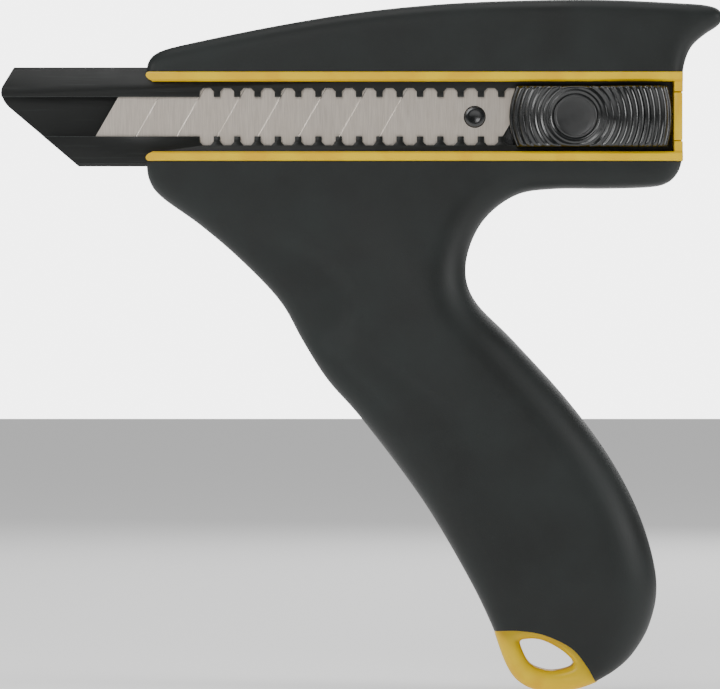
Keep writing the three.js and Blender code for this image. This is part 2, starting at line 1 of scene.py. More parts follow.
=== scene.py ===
"""A pistol-grip cutter for snap-off blades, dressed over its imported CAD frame.

Shapes are drawn in millimetres, in the upright plane of the tool: x runs from the muzzle to the back, z is
up, and y runs from the worked side (negative) to the closed side. x = 0 is the tip of the steel channel and
z = 0 is the middle of the blade. Layout turns that drawing into the frame's metres.
"""

import logging
import math
from collections.abc import Callable, Iterable, Sequence
from dataclasses import dataclass, field
from enum import Enum

import bmesh
import bpy
import numpy as np
from mathutils import Matrix, Vector


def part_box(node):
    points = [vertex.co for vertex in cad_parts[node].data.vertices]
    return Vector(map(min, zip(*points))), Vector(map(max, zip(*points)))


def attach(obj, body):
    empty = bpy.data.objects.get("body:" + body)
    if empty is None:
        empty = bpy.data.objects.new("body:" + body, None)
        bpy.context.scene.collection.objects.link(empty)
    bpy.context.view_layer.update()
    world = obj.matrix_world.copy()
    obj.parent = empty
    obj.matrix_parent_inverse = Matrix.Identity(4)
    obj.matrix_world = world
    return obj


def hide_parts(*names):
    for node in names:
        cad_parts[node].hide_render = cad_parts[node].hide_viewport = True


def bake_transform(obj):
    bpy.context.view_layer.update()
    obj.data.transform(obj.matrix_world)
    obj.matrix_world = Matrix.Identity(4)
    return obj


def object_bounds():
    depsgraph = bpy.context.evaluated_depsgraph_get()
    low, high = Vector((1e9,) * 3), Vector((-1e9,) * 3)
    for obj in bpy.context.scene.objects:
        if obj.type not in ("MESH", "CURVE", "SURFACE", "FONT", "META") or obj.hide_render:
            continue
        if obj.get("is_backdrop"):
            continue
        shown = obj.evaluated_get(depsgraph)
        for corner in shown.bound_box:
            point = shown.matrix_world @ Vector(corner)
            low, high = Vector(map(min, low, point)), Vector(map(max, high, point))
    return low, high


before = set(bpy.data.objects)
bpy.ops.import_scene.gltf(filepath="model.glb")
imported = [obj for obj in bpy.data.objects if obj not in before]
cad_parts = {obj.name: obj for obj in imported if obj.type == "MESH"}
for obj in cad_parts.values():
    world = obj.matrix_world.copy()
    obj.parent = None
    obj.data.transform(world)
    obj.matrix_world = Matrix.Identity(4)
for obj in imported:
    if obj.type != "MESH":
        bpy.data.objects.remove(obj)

LOG = logging.getLogger("cutter")
MM = 0.001

# The drawing's fixed places and the cutters' reach, in millimetres.
BARREL_FRONT = 39.6
RIM_OUTSIDE = 12.2
THROUGH = 30.0
PAST_END = 5.0


class Body(Enum):
    """The rigid bodies that a piece can ride on."""

    HANDLE = "handle"
    SLIDE = "slide"
    BUTTON = "button"
    STOP = "stop"


class Side(Enum):
    """Which side of the parting plane a cover belongs to."""

    WORKED = -1
    CLOSED = 1


class Join(Enum):
    """What one solid does to another."""

    CUT = "DIFFERENCE"
    ADD = "UNION"


class Lay(Enum):
    """Which way a ground surface's lines run, as the stretch of their pattern."""

    UPRIGHT = (1.0, 1.0, 0.03)
    ALONG = (0.03, 1.0, 1.0)


@dataclass(frozen=True)
class Layout:
    """Where the drawing lies in the frame.

    Attributes:
        origin: the drawing's origin, in metres.
    """

    origin: Vector

    @classmethod
    def from_frame(cls) -> "Layout":
        """Reads the drawing's origin from the core's front and the middle of the blade.

        Returns:
            The layout.
        """
        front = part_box("near_core")[0].x
        low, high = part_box("blade")
        return cls(Vector((front - BARREL_FRONT * MM, 0.0, (low.z + high.z) / 2)))

    def matrix(self) -> Matrix:
        """Returns the transform from drawing millimetres to frame metres."""
        return Matrix.Translation(self.origin) @ Matrix.Scale(MM, 4)


# ------------------------------------------------------------------------------------------ mesh tools
# How far an edge is rounded over across the tool, as a share of its rounding in the drawing, and how much of
# the half thickness is always left square at the edge, in millimetres.
ROUND_SHARE = 0.88
FLAT_EDGE = 1.4


def ease(value: np.ndarray, low: float, high: float) -> np.ndarray:
    """Returns 0 up to low and 1 from high on, with a smooth rise between them."""
    t = np.clip((value - low) / (high - low), 0.0, 1.0)
    return t * t * (3.0 - 2.0 * t)


def flowing(points: Sequence[Sequence[float]], steps: int = 8) -> np.ndarray:
    """Draws one smooth run through some points.

    Args:
        points: what the run passes through. Every column is smoothed alike.
        steps: how many samples each span gets.

    Returns:
        The samples, from the first point to the last.
    """
    given = np.array(points, float)
    padded = np.vstack([given[0], given, given[-1]])
    samples = []
    for p0, p1, p2, p3 in zip(padded, padded[1:], padded[2:], padded[3:]):
        for t in np.arange(steps) / steps:
            pull, swing = (p2 - p0) * 0.5, (p3 - p1) * 0.5
            a = 2 * p1 - 2 * p2 + pull + swing
            b = -3 * p1 + 3 * p2 - 2 * pull - swing
            samples.append(((a * t + b) * t + pull) * t + p1)
    return np.array([*samples, given[-1]])


def new_object(bm: bmesh.types.BMesh, name: str, sharp_deg: float = 32.0) -> bpy.types.Object:
    """Turns a finished bmesh into an object of the scene.

    Args:
        bm: the mesh, in metres. It is freed.
        name: the object's name.
        sharp_deg: edges that turn by more than this stay crisp.

    Returns:
        The new object, at the origin.
    """
    mesh = bpy.data.meshes.new(name)
    bm.to_mesh(mesh)
    bm.free()
    mesh.shade_smooth()
    mesh.set_sharp_from_angle(angle=math.radians(sharp_deg))
    made = bpy.data.objects.new(name, mesh)
    bpy.context.scene.collection.objects.link(made)
    return made


def with_modifier(bm: bmesh.types.BMesh, kind: str, **settings: object) -> bmesh.types.BMesh:
    """Runs one modifier over a bmesh.

    Args:
        bm: the mesh to change. It is freed.
        kind: the modifier's type.
        **settings: its properties.

    Returns:
        The changed mesh.
    """
    rough = new_object(bm, "rough")
    modifier = rough.modifiers.new("step", kind)
    for key, value in settings.items():
        setattr(modifier, key, value)
    seen = rough.evaluated_get(bpy.context.evaluated_depsgraph_get())
    changed = bmesh.new()
    changed.from_mesh(seen.to_mesh())
    seen.to_mesh_clear()
    mesh = rough.data
    bpy.data.objects.remove(rough)
    bpy.data.meshes.remove(mesh)
    return changed


def extruded(outline: np.ndarray, low: float, high: float) -> bmesh.types.BMesh:
    """Raises a closed outline into a plate.

    Args:
        outline: x and z of each corner, in order, in millimetres.
        low: y of one face.
        high: y of the other.

    Returns:
        The closed plate.
    """
    bm = bmesh.new()
    lid = bm.faces.new([bm.verts.new((x, low, z)) for x, z in outline[:, :2]])
    raised = bmesh.ops.extrude_face_region(bm, geom=[lid], use_keep_orig=True)
    moved = [g for g in raised["geom"] if isinstance(g, bmesh.types.BMVert)]
    bmesh.ops.translate(bm, verts=moved, vec=(0.0, high - low, 0.0))
    bmesh.ops.recalc_face_normals(bm, faces=bm.faces)
    return bm


def edge_distance(rings: Iterable[np.ndarray], points: np.ndarray) -> tuple[np.ndarray, np.ndarray]:
    """Measures how far points lie from some closed outlines.

    Args:
        rings: x, z and rounding of each sample of each outline.
        points: x and z of each point.

    Returns:
        The distance of each point, and the rounding at the nearest place on an outline.
    """
    near = np.full(len(points), np.inf)
    rounding = np.zeros(len(points))
    for ring in rings:
        for start, end in zip(ring, np.roll(ring, -1, axis=0)):
            along = end[:2] - start[:2]
            share = np.clip((points - start[:2]) @ along / (along @ along), 0.0, 1.0)
            gap = np.linalg.norm(points - start[:2] - share[:, None] * along, axis=1)
            closer = gap < near
            near[closer] = gap[closer]
            rounding[closer] = (start[2] + share * (end[2] - start[2]))[closer]
    return near, rounding


def moulded(
    blank: bmesh.types.BMesh,
    rings: Iterable[np.ndarray],
    half: Callable[[np.ndarray], np.ndarray],
    voxel: float,
    passes: int,
) -> bmesh.types.BMesh:
    """Rounds a plate over at its outlines and gives it its thickness from place to place.

    Args:
        blank: the plate, thicker than the finished piece. It is freed.
        rings: x, z and rounding of each sample of each of its outlines.
        half: gives half the thickness at each x and z.
        voxel: size of the finished mesh's squares.
        passes: how often the mesh is smoothed.

    Returns:
        The closed rounded solid.
    """
    plain = max(v.co.y for v in blank.verts)
    bm = with_modifier(blank, "REMESH", mode="VOXEL", voxel_size=voxel, adaptivity=0.0)
    place = np.array([v.co[:] for v in bm.verts])
    flat = place[:, [0, 2]]
    gap, rounding = edge_distance(rings, flat)
    full = half(flat)
    over = np.minimum(ROUND_SHARE * rounding, full - FLAT_EDGE)
    arc = np.sqrt(1.0 - (1.0 - np.clip(gap / rounding, 0.0, 1.0)) ** 2)
    depth = np.minimum(np.abs(place[:, 1]) * full / plain, full - over + over * arc)
    for vert, y in zip(bm.verts, depth * np.sign(place[:, 1])):
        vert.co.y = y
    bm = with_modifier(bm, "REMESH", mode="VOXEL", voxel_size=voxel, adaptivity=0.0)
    for _ in range(passes):
        bmesh.ops.smooth_vert(
            bm, verts=bm.verts, factor=0.5, use_axis_x=True, use_axis_y=True, use_axis_z=True
        )
    return bm


def carved(bm: bmesh.types.BMesh, tools: Sequence[bmesh.types.BMesh], join: Join) -> bmesh.types.BMesh:
    """Cuts solids from a mesh, or adds them to it.

    Args:
        bm: the mesh to change. It is freed.
        tools: the other solids. They are freed.
        join: what they do to the mesh.

    Returns:
        The changed mesh.
    """
    for tool in tools:
        shape = new_object(tool, "tool")
        bm = with_modifier(bm, "BOOLEAN", operation=join.value, object=shape, solver="EXACT")
        mesh = shape.data
        bpy.data.objects.remove(shape)
        bpy.data.meshes.remove(mesh)
    return bm


def split(
    bm: bmesh.types.BMesh,
    at: Sequence[float],
    outward: Sequence[float],
    clear: bool = False,
    near: float = 1e-5,
) -> None:
    """Cuts a mesh along a plane.

    Args:
        bm: the mesh.
        at: a point of the plane.
        outward: the plane's direction.
        clear: True to take away what lies outwards of it, which leaves the cut open.
        near: corners closer to the plane than this count as on it, in the mesh's own units.
    """
    everything = [*bm.verts, *bm.edges, *bm.faces]
    bmesh.ops.bisect_plane(bm, geom=everything, dist=near, plane_co=at, plane_no=outward, clear_outer=clear)


def lathed(
    profile: Sequence[tuple[float, float]], centre: tuple[float, float], steps: int
) -> bmesh.types.BMesh:
    """Spins a profile round a line along y.

    Args:
        profile: radius and y of each corner, from axis to axis.
        centre: x and z of the line.
        steps: how many facets the round gets.

    Returns:
        The closed solid.
    """
    bm = bmesh.new()
    corners = [bm.verts.new((centre[0] + r, y, centre[1])) for r, y in profile]
    edges = [bm.edges.new(pair) for pair in zip(corners, corners[1:])]
    bmesh.ops.spin(
        bm,
        geom=[*corners, *edges],
        cent=(centre[0], 0.0, centre[1]),
        axis=(0.0, 1.0, 0.0),
        angle=math.tau,
        steps=steps,
        use_merge=True,
    )
    bmesh.ops.remove_doubles(bm, verts=bm.verts, dist=1e-4)
    bmesh.ops.recalc_face_normals(bm, faces=bm.faces)
    return bm


def rounded(
    bm: bmesh.types.BMesh, edges: Sequence[bmesh.types.BMEdge], width: float, segments: int = 2
) -> None:
    """Rounds edges.

    Args:
        bm: the mesh, in metres.
        edges: which edges.
        width: how wide each rounded edge is, in millimetres.
        segments: how many facets it gets.
    """
    bmesh.ops.bevel(
        bm,
        geom=edges,
        offset=width * MM,
        segments=segments,
        profile=0.5,
        affect="EDGES",
        clamp_overlap=True,
        material=-1,
    )


def crisp_edges(bm: bmesh.types.BMesh, from_deg: float = 30.0) -> list[bmesh.types.BMEdge]:
    """Returns the edges at which a mesh turns by more than from_deg."""
    return [e for e in bm.edges if e.is_manifold and e.calc_face_angle() > math.radians(from_deg)]


def clean_copy(node: str) -> bmesh.types.BMesh:
    """Copies a CAD node, with its loose triangles merged into whole faces.

    Args:
        node: the CAD node.

    Returns:
        The copy, in metres.
    """
    bm = bmesh.new()
    bm.from_mesh(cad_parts[node].data)
    bmesh.ops.remove_doubles(bm, verts=bm.verts, dist=2e-6)
    bmesh.ops.dissolve_limit(bm, angle_limit=math.radians(1.0), verts=bm.verts, edges=bm.edges)
    return bm


def eased_copy(node: str, width: float, corner: float = 0.0) -> bmesh.types.BMesh:
    """Copies a CAD node and eases its edges, as moulding or tumbling leaves them.

    Args:
        node: the CAD node.
        width: how wide each eased edge is, in millimetres.
        corner: how wide the corners that stand along y are rounded first, in millimetres.

    Returns:
        The copy, in metres.
    """
    bm = clean_copy(node)
    if corner:
        upright = [e for e in crisp_edges(bm) if abs((e.verts[0].co - e.verts[1].co).normalized().y) > 0.99]
        rounded(bm, upright, corner, 3)
    rounded(bm, crisp_edges(bm), width)
    return bm


# ------------------------------------------------------------------------------------------ node tools
def linear(code: str) -> tuple[float, float, float, float]:
    """Turns an sRGB hex code such as 2B3031 into a linear colour."""
    parts = [int(code[i : i + 2], 16) / 255 for i in (0, 2, 4)]
    return (*[c / 12.92 if c <= 0.04045 else ((c + 0.055) / 1.055) ** 2.4 for c in parts], 1.0)


def add_node(
    tree: bpy.types.NodeTree, kind: str, inputs: dict[str | int, object] | None = None, **settings: object
) -> bpy.types.Node:
    """Adds one node with its settings and links.

    Args:
        tree: the material's tree.
        kind: the node's type.
        inputs: what each socket gets, by name or number: a value, or another node's output to link.
        **settings: the node's properties.

    Returns:
        The node.
    """
    made = tree.nodes.new(kind)
    for key, value in settings.items():
        setattr(made, key, value)
    for key, value in (inputs or {}).items():
        if isinstance(value, bpy.types.NodeSocket):
            tree.links.new(value, made.inputs[key])
        else:
            made.inputs[key].default_value = value
    return made


def per_mm(size: float) -> float:
    """Returns the texture scale that repeats every size millimetres."""
    return 1.0 / (size * MM)


# ------------------------------------------------------------------------------------------ finishes
WORN_MM = 0.3  # how far wear reaches in from an edge


@dataclass(frozen=True)
class Surface:
    """What every finish starts from.

    Attributes:
        tree: the material's tree.
        shader: its shader.
        place: object coordinates.
        edge: 0 on open faces, rising to the finish's wear along crisp edges, where use reaches first.
    """

    tree: bpy.types.NodeTree
    shader: bpy.types.Node
    place: bpy.types.NodeSocket
    edge: bpy.types.NodeSocket

    def add(
        self, kind: str, inputs: dict[str | int, object], out: int = 0, **settings: object
    ) -> bpy.types.NodeSocket:
        """Adds one node with its settings and links.

        Args:
            kind: the node's type.
            inputs: what each socket gets, by name or number.
            out: which of its outputs is wanted.
            **settings: the node's properties.

        Returns:
            That output.
        """
        return add_node(self.tree, kind, inputs, **settings).outputs[out]

    def give(self, **sockets: object) -> None:
        """Fills the shader's sockets.

        Args:
            **sockets: each socket's name, with _ for a space, and its link or uniform value.
        """
        for name, value in sockets.items():
            socket = self.shader.inputs[name.replace("_", " ")]
            if isinstance(value, bpy.types.NodeSocket):
                self.tree.links.new(value, socket)
            else:
                socket.default_value = value


@dataclass(frozen=True)
class Finish:
    """A surface finish.

    Attributes:
        name: what a maker calls it.
        slot: the record's material slot. It is not used.
        wear: how much of the worn colour shows along the sharpest edges.
    """

    name: str
    slot: str
    wear: float = 0.0

    def dress(self, on: Surface) -> None:
        """Adds the finish's own nodes to a surface, each kind of finish in its own way."""
        raise NotImplementedError

    def material(self) -> bpy.types.Material:
        """Makes the finish's material on first use.

        Returns:
            The material.
        """
        known = bpy.data.materials.get(self.name)
        if known:
            return known
        made = bpy.data.materials.new(self.name)
        made.use_nodes = True
        tree = made.node_tree
        tree.nodes.clear()
        shader = add_node(tree, "ShaderNodeBsdfPrincipled")
        add_node(tree, "ShaderNodeOutputMaterial", {"Surface": shader.outputs["BSDF"]})
        place = add_node(tree, "ShaderNodeTexCoord").outputs["Object"]
        # Where the surface of an eased edge turns away from the true one, the edge is worn.
        eased = add_node(tree, "ShaderNodeBevel", {"Radius": WORN_MM * MM}, samples=4).outputs["Normal"]
        true = add_node(tree, "ShaderNodeNewGeometry").outputs["Normal"]
        agree = add_node(tree, "ShaderNodeVectorMath", {0: eased, 1: true}, operation="DOT_PRODUCT")
        edge = add_node(
            tree, "ShaderNodeMapRange", {0: agree.outputs["Value"], 1: 0.985, 2: 0.8, 4: self.wear}
        )
        self.dress(Surface(tree, shader, place, edge.outputs["Result"]))
        return made


@dataclass(frozen=True)
class MouldedElastomer(Finish):
    """Thermoplastic elastomer moulded against a spark-eroded tool.

    It looks soft and charcoal, with a fine even grain, and spreads every highlight into a broad dim band.

    Attributes:
        wear: see Finish.
        fresh: colour of the untouched surface.
        handled: colour where hands and bench dust have greyed it.
        grain_mm: size of the grain. The real one is about 0.1 mm, drawn coarser so that it shows.
        cloud_mm: size of the patches of uneven sheen.
        parting_mm: how far the dirt in the joint between the two halves darkens each of them. The real line is
            about 0.1 mm, drawn wider so that it shows.
        speck_mm: how far apart specks of dust lie.
        dust: their colour.
        dirt: colour of the dirt.
        worn: colour of worn edges.
    """

    wear: float = 0.35
    fresh: str = "171A19"
    handled: str = "1E2322"
    dust: str = "343A39"
    dirt: str = "070808"
    worn: str = "2E3433"
    grain_mm: float = 0.32
    cloud_mm: float = 16.0
    parting_mm: float = 0.3
    speck_mm: float = 1.6

    def dress(self, on: Surface) -> None:
        """Lays the grain, the uneven sheen, the dust, the worn edges and the dirty parting line.

        Args:
            on: the surface to dress.
        """
        fine, wide = per_mm(self.grain_mm), per_mm(self.cloud_mm)
        grain = on.add("ShaderNodeTexNoise", {"Vector": on.place, "Scale": fine, "Detail": 3.0})
        cloud = on.add("ShaderNodeTexNoise", {"Vector": on.place, "Scale": wide, "Detail": 4.0})
        specks = on.add("ShaderNodeTexVoronoi", {"Vector": on.place, "Scale": per_mm(self.speck_mm)})
        greyed = on.add("ShaderNodeMapRange", {0: cloud, 1: 0.35, 2: 0.72})
        speck = on.add("ShaderNodeMapRange", {0: specks, 1: 0.04, 2: 0.11, 3: 0.22, 4: 0.0})
        fresh, handled = linear(self.fresh), linear(self.handled)
        skin = on.add("ShaderNodeMix", {0: greyed, 6: fresh, 7: handled}, 2, data_type="RGBA")
        dusted = on.add("ShaderNodeMix", {0: speck, 6: skin, 7: linear(self.dust)}, 2, data_type="RGBA")
        worn = on.add("ShaderNodeMix", {0: on.edge, 6: dusted, 7: linear(self.worn)}, 2, data_type="RGBA")
        across = on.add("ShaderNodeSeparateXYZ", {0: on.place}, 1)
        away = on.add("ShaderNodeMath", {0: across}, operation="ABSOLUTE")
        line = on.add("ShaderNodeMapRange", {0: away, 1: self.parting_mm * MM, 2: 0.0})
        parted = on.add("ShaderNodeMix", {0: line, 6: worn, 7: linear(self.dirt)}, 2, data_type="RGBA")
        sheen = on.add("ShaderNodeMapRange", {0: cloud, 1: 0.3, 2: 0.75, 3: 0.48, 4: 0.58})
        normal = on.add("ShaderNodeBump", {"Height": grain, "Strength": 0.32, "Distance": 0.06 * MM})
        on.give(Base_Color=parted, Roughness=sheen, Normal=normal, IOR=1.48)
        on.give(Specular_IOR_Level=0.36, Sheen_Weight=0.03)


@dataclass(frozen=True)
class MouldedAbs(Finish):
    """Yellow ABS, injection moulded: an even satin gloss with a slight orange peel.

    The colour deepens in slow patches, as the melt flowed, and pales where edges are rubbed.

    Attributes:
        wear: see Finish.
        bright: colour of the open faces.
        deep: colour of the patches.
        peel_mm: size of the orange peel.
        flow_mm: size of the patches.
        worn: colour of rubbed edges.
    """

    wear: float = 0.3
    worn: str = "F6DA3C"
    bright: str = "EDC700"
    deep: str = "E2B200"
    peel_mm: float = 1.4
    flow_mm: float = 11.0

    def dress(self, on: Surface) -> None:
        """Lays the flow patches, the orange peel and the paler edges.

        Args:
            on: the surface to dress.
        """
        wide, fine = per_mm(self.flow_mm), per_mm(self.peel_mm)
        flow = on.add("ShaderNodeTexNoise", {"Vector": on.place, "Scale": wide, "Distortion": 0.6})
        peel = on.add("ShaderNodeTexNoise", {"Vector": on.place, "Scale": fine, "Detail": 2.0})
        patches = on.add("ShaderNodeMapRange", {0: flow, 1: 0.38, 2: 0.68})
        bright, deep = linear(self.bright), linear(self.deep)
        plastic = on.add("ShaderNodeMix", {0: patches, 6: bright, 7: deep}, 2, data_type="RGBA")
        worn = on.add("ShaderNodeMix", {0: on.edge, 6: plastic, 7: linear(self.worn)}, 2, data_type="RGBA")
        gloss = on.add("ShaderNodeMapRange", {0: flow, 1: 0.3, 2: 0.7, 3: 0.3, 4: 0.4})
        normal = on.add("ShaderNodeBump", {"Height": peel, "Strength": 0.12, "Distance": 0.05 * MM})
        on.give(Base_Color=worn, Roughness=gloss, Normal=normal, IOR=1.53, Specular_IOR_Level=0.35)


@dataclass(frozen=True)
class MouldedNylon(Finish):
    """Black glass-filled nylon, moulded: glossy enough for every rib to catch a thin bright line.

    Short fibres show faintly in the skin, and thumbs have polished it in patches.

    Attributes:
        wear: see Finish.
        body: colour of the plastic.
        fibre: colour of the fibres that lie in the skin.
        rough: roughness of the open surface.
        fibre_mm: length of a fibre. The real ones are about 0.2 mm, drawn longer so that they show.
        thumb_mm: size of the polished patches.
        drawn_out: how much the fibres' pattern is stretched along the tool, as the melt ran.
        worn: colour of rubbed edges.
    """

    wear: float = 0.4
    worn: str = "2A2E2E"
    drawn_out: float = 4.0
    body: str = "0C0E0E"
    fibre: str = "171A1A"
    rough: float = 0.23
    fibre_mm: float = 0.5
    thumb_mm: float = 4.0

    def dress(self, on: Surface) -> None:
        """Lays the fibres, the thumbed patches and the worn edges.

        Args:
            on: the surface to dress.
        """
        drawn = on.add("ShaderNodeMapping", {"Vector": on.place, "Scale": (1.0 / self.drawn_out, 1.0, 1.0)})
        fine, wide = per_mm(self.fibre_mm), per_mm(self.thumb_mm)
        fibres = on.add("ShaderNodeTexNoise", {"Vector": drawn, "Scale": fine, "Detail": 4.0})
        thumbed = on.add("ShaderNodeTexNoise", {"Vector": on.place, "Scale": wide, "Detail": 2.0})
        showing = on.add("ShaderNodeMapRange", {0: fibres, 1: 0.5, 2: 0.72})
        body, fibre = linear(self.body), linear(self.fibre)
        plastic = on.add("ShaderNodeMix", {0: showing, 6: body, 7: fibre}, 2, data_type="RGBA")
        worn = on.add("ShaderNodeMix", {0: on.edge, 6: plastic, 7: linear(self.worn)}, 2, data_type="RGBA")
        low, high = self.rough - 0.07, self.rough + 0.06
        polish = on.add("ShaderNodeMapRange", {0: thumbed, 1: 0.35, 2: 0.7, 3: low, 4: high})
        normal = on.add("ShaderNodeBump", {"Height": fibres, "Strength": 0.15, "Distance": 0.03 * MM})
        on.give(Base_Color=worn, Roughness=polish, Normal=normal, IOR=1.53, Specular_IOR_Level=0.75)


@dataclass(frozen=True)
class BlackedSheet(Finish):
    """Folded sheet steel under a thin black baked coat.

    It is nearly black, with a low gloss, faint rub marks along the run of the blade and steel-grey edges.

    Attributes:
        wear: see Finish.
        coat: colour of the coat.
        rubbed: colour where the blade and slide have burnished it.
        streak_mm: width of a rub mark.
        cloud_mm: size of the patches of uneven gloss.
        pit_mm: size of the coat's pits.
        bare: colour of the steel where the coat has chipped off an edge.
    """

    wear: float = 0.7
    bare: str = "5A5F5E"
    coat: str = "131514"
    rubbed: str = "2E3331"
    streak_mm: float = 0.5
    cloud_mm: float = 9.0
    pit_mm: float = 0.3

    def dress(self, on: Surface) -> None:
        """Lays the coat, its pits and rub marks, and the edges where it has chipped.

        Args:
            on: the surface to dress.
        """
        drawn = on.add("ShaderNodeMapping", {"Vector": on.place, "Scale": Lay.ALONG.value})
        narrow, wide, fine = per_mm(self.streak_mm), per_mm(self.cloud_mm), per_mm(self.pit_mm)
        streaks = on.add("ShaderNodeTexNoise", {"Vector": drawn, "Scale": narrow, "Detail": 3.0})
        cloud = on.add("ShaderNodeTexNoise", {"Vector": on.place, "Scale": wide, "Detail": 3.0})
        pits = on.add("ShaderNodeTexNoise", {"Vector": on.place, "Scale": fine, "Detail": 2.0})
        marks = on.add("ShaderNodeMapRange", {0: streaks, 1: 0.58, 2: 0.76, 3: 0.0, 4: 0.35})
        coat, rubbed = linear(self.coat), linear(self.rubbed)
        black = on.add("ShaderNodeMix", {0: marks, 6: coat, 7: rubbed}, 2, data_type="RGBA")
        worn = on.add("ShaderNodeMix", {0: on.edge, 6: black, 7: linear(self.bare)}, 2, data_type="RGBA")
        gloss = on.add("ShaderNodeMapRange", {0: cloud, 1: 0.3, 2: 0.7, 3: 0.36, 4: 0.48})
        normal = on.add("ShaderNodeBump", {"Height": pits, "Strength": 0.16, "Distance": 0.03 * MM})
        on.give(Base_Color=worn, Roughness=gloss, Normal=normal, Specular_IOR_Level=0.22)
        on.give(Coat_Weight=0.12, Coat_Roughness=0.16)


@dataclass(frozen=True)
class GroundSteel(Finish):
    """Bare steel, ground in fine close lines, so that it shines in one soft band across them.

    Attributes:
        wear: see Finish.
        high: colour of the metal.
        low: colour in the deeper grinding marks.
        cast: colour of the patches where oil has dried.
        line_mm: width of a grinding line. The real ones are about 0.05 mm, drawn coarser so that they show.
        lay: which way they run.
        rough: roughness of the surface.
        oil_mm: size of the patches of dried oil.
        bright: colour of the edges, which use keeps clean.
    """

    wear: float = 0.5
    bright: str = "E2DED8"
    high: str = "CBC3B9"
    low: str = "B9B0A6"
    cast: str = "ADA49A"
    line_mm: float = 0.16
    lay: Lay = Lay.UPRIGHT
    rough: float = 0.42
    oil_mm: float = 7.0

    def dress(self, on: Surface) -> None:
        """Lays the grinding lines, the dried oil and the bright edges.

        Args:
            on: the surface to dress.
        """
        drawn = on.add("ShaderNodeMapping", {"Vector": on.place, "Scale": self.lay.value})
        fine, wide = per_mm(self.line_mm), per_mm(self.oil_mm)
        lines = on.add("ShaderNodeTexNoise", {"Vector": drawn, "Scale": fine, "Detail": 2.0})
        cloud = on.add("ShaderNodeTexNoise", {"Vector": on.place, "Scale": wide, "Detail": 3.0})
        depth = on.add("ShaderNodeMapRange", {0: lines, 1: 0.35, 2: 0.65})
        oiled = on.add("ShaderNodeMapRange", {0: cloud, 1: 0.35, 2: 0.7, 3: 0.0, 4: 0.35})
        low, high = linear(self.low), linear(self.high)
        ground = on.add("ShaderNodeMix", {0: depth, 6: low, 7: high}, 2, data_type="RGBA")
        metal = on.add("ShaderNodeMix", {0: oiled, 6: ground, 7: linear(self.cast)}, 2, data_type="RGBA")
        worn = on.add("ShaderNodeMix", {0: on.edge, 6: metal, 7: linear(self.bright)}, 2, data_type="RGBA")
        gloss = {0: cloud, 1: 0.3, 2: 0.7, 3: self.rough - 0.05, 4: self.rough + 0.06}
        normal = on.add("ShaderNodeBump", {"Height": lines, "Strength": 0.1, "Distance": 0.02 * MM})
        on.give(Base_Color=worn, Roughness=on.add("ShaderNodeMapRange", gloss), Normal=normal, Metallic=1.0)


@dataclass(frozen=True)
class StudioPaper(Finish):
    """Matt white background paper on a lit table: an even pale ground with the faint tooth that paper has.

    Attributes:
        glow: the light that comes through it from the table below.
        tooth_mm: size of the tooth.
        pale: colour in its hollows.
        white: colour of its crests.
    """

    pale: str = "F4F4F3"
    white: str = "FAFAFA"
    glow: float = 0.42
    tooth_mm: float = 1.2

    def dress(self, on: Surface) -> None:
        """Lays the paper's tooth.

        Args:
            on: the surface to dress.
        """
        fine = per_mm(self.tooth_mm)
        tooth = on.add("ShaderNodeTexNoise", {"Vector": on.place, "Scale": fine, "Detail": 2.0})
        pale, white = linear(self.pale), linear(self.white)
        paper = on.add("ShaderNodeMix", {0: tooth, 6: pale, 7: white}, 2, data_type="RGBA")
        on.give(Base_Color=paper, Roughness=0.9, Emission_Color=white, Emission_Strength=self.glow)


ELASTOMER = MouldedElastomer("Elastomer, moulded, charcoal", "elastomer")
ABS = MouldedAbs("ABS, moulded, yellow", "yellow_abs")
NYLON = MouldedNylon("Glass-filled nylon, moulded, black", "black_nylon")
BUTTON_NYLON = MouldedNylon("Nylon, moulded smooth, black", "black_nylon", fibre="121414", rough=0.4)
BLACKED = BlackedSheet("Sheet steel, folded and black coated", "blacked_steel")
BLADE_STEEL = GroundSteel("Carbon steel, ground", "blade_steel")
SPRING_STEEL = GroundSteel("Spring strip, rolled", "spring_steel", lay=Lay.ALONG, rough=0.34)
PLATED = GroundSteel("Screw steel, zinc plated", "zinc_steel", high="C9CBCD", low="B2B4B7", rough=0.32)
PAPER = StudioPaper("Background paper, white", "")


@dataclass(frozen=True)
class Bend:
    """How a springy piece is bent by a second body.

    Attributes:
        body: the body that bends it. It is not used.
        start: where the bend starts, in the frame. It is not used.
        end: past this, the piece follows the second body. It is not used.
    """

    body: Body
    start: Vector
    end: Vector


def settle(
    piece: bpy.types.Object, body: Body, finish: Finish, stands_for: Iterable[str], bend: Bend | None = None
) -> None:
    """Finishes a new piece: its material, its body and the CAD nodes that it stands for.

    Args:
        piece: the finished mesh object.
        body: the body that it rides on.
        finish: what its surface is.
        stands_for: the CAD nodes that it replaces.
        bend: None for a rigid piece. Given a bend, the piece keeps its place in the frame and goes on no body.
    """
    piece.data.materials.clear()
    piece.data.materials.append(finish.material())
    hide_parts(*stands_for)
    if bend:
        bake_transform(piece)
    else:
        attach(piece, body.value)
    LOG.info("%s: %d faces on %s, %s", piece.name, len(piece.data.polygons), body.value, finish.name)


def dress_node(node: str, finish: Finish) -> None:
    """Gives a CAD node that stays a finish of its own.

    Args:
        node: the CAD node.
        finish: what its surface is.
    """
    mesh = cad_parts[node].data
    mesh.materials.clear()
    mesh.materials.append(finish.material())
    LOG.info("%s: CAD node kept, %s", node, finish.name)


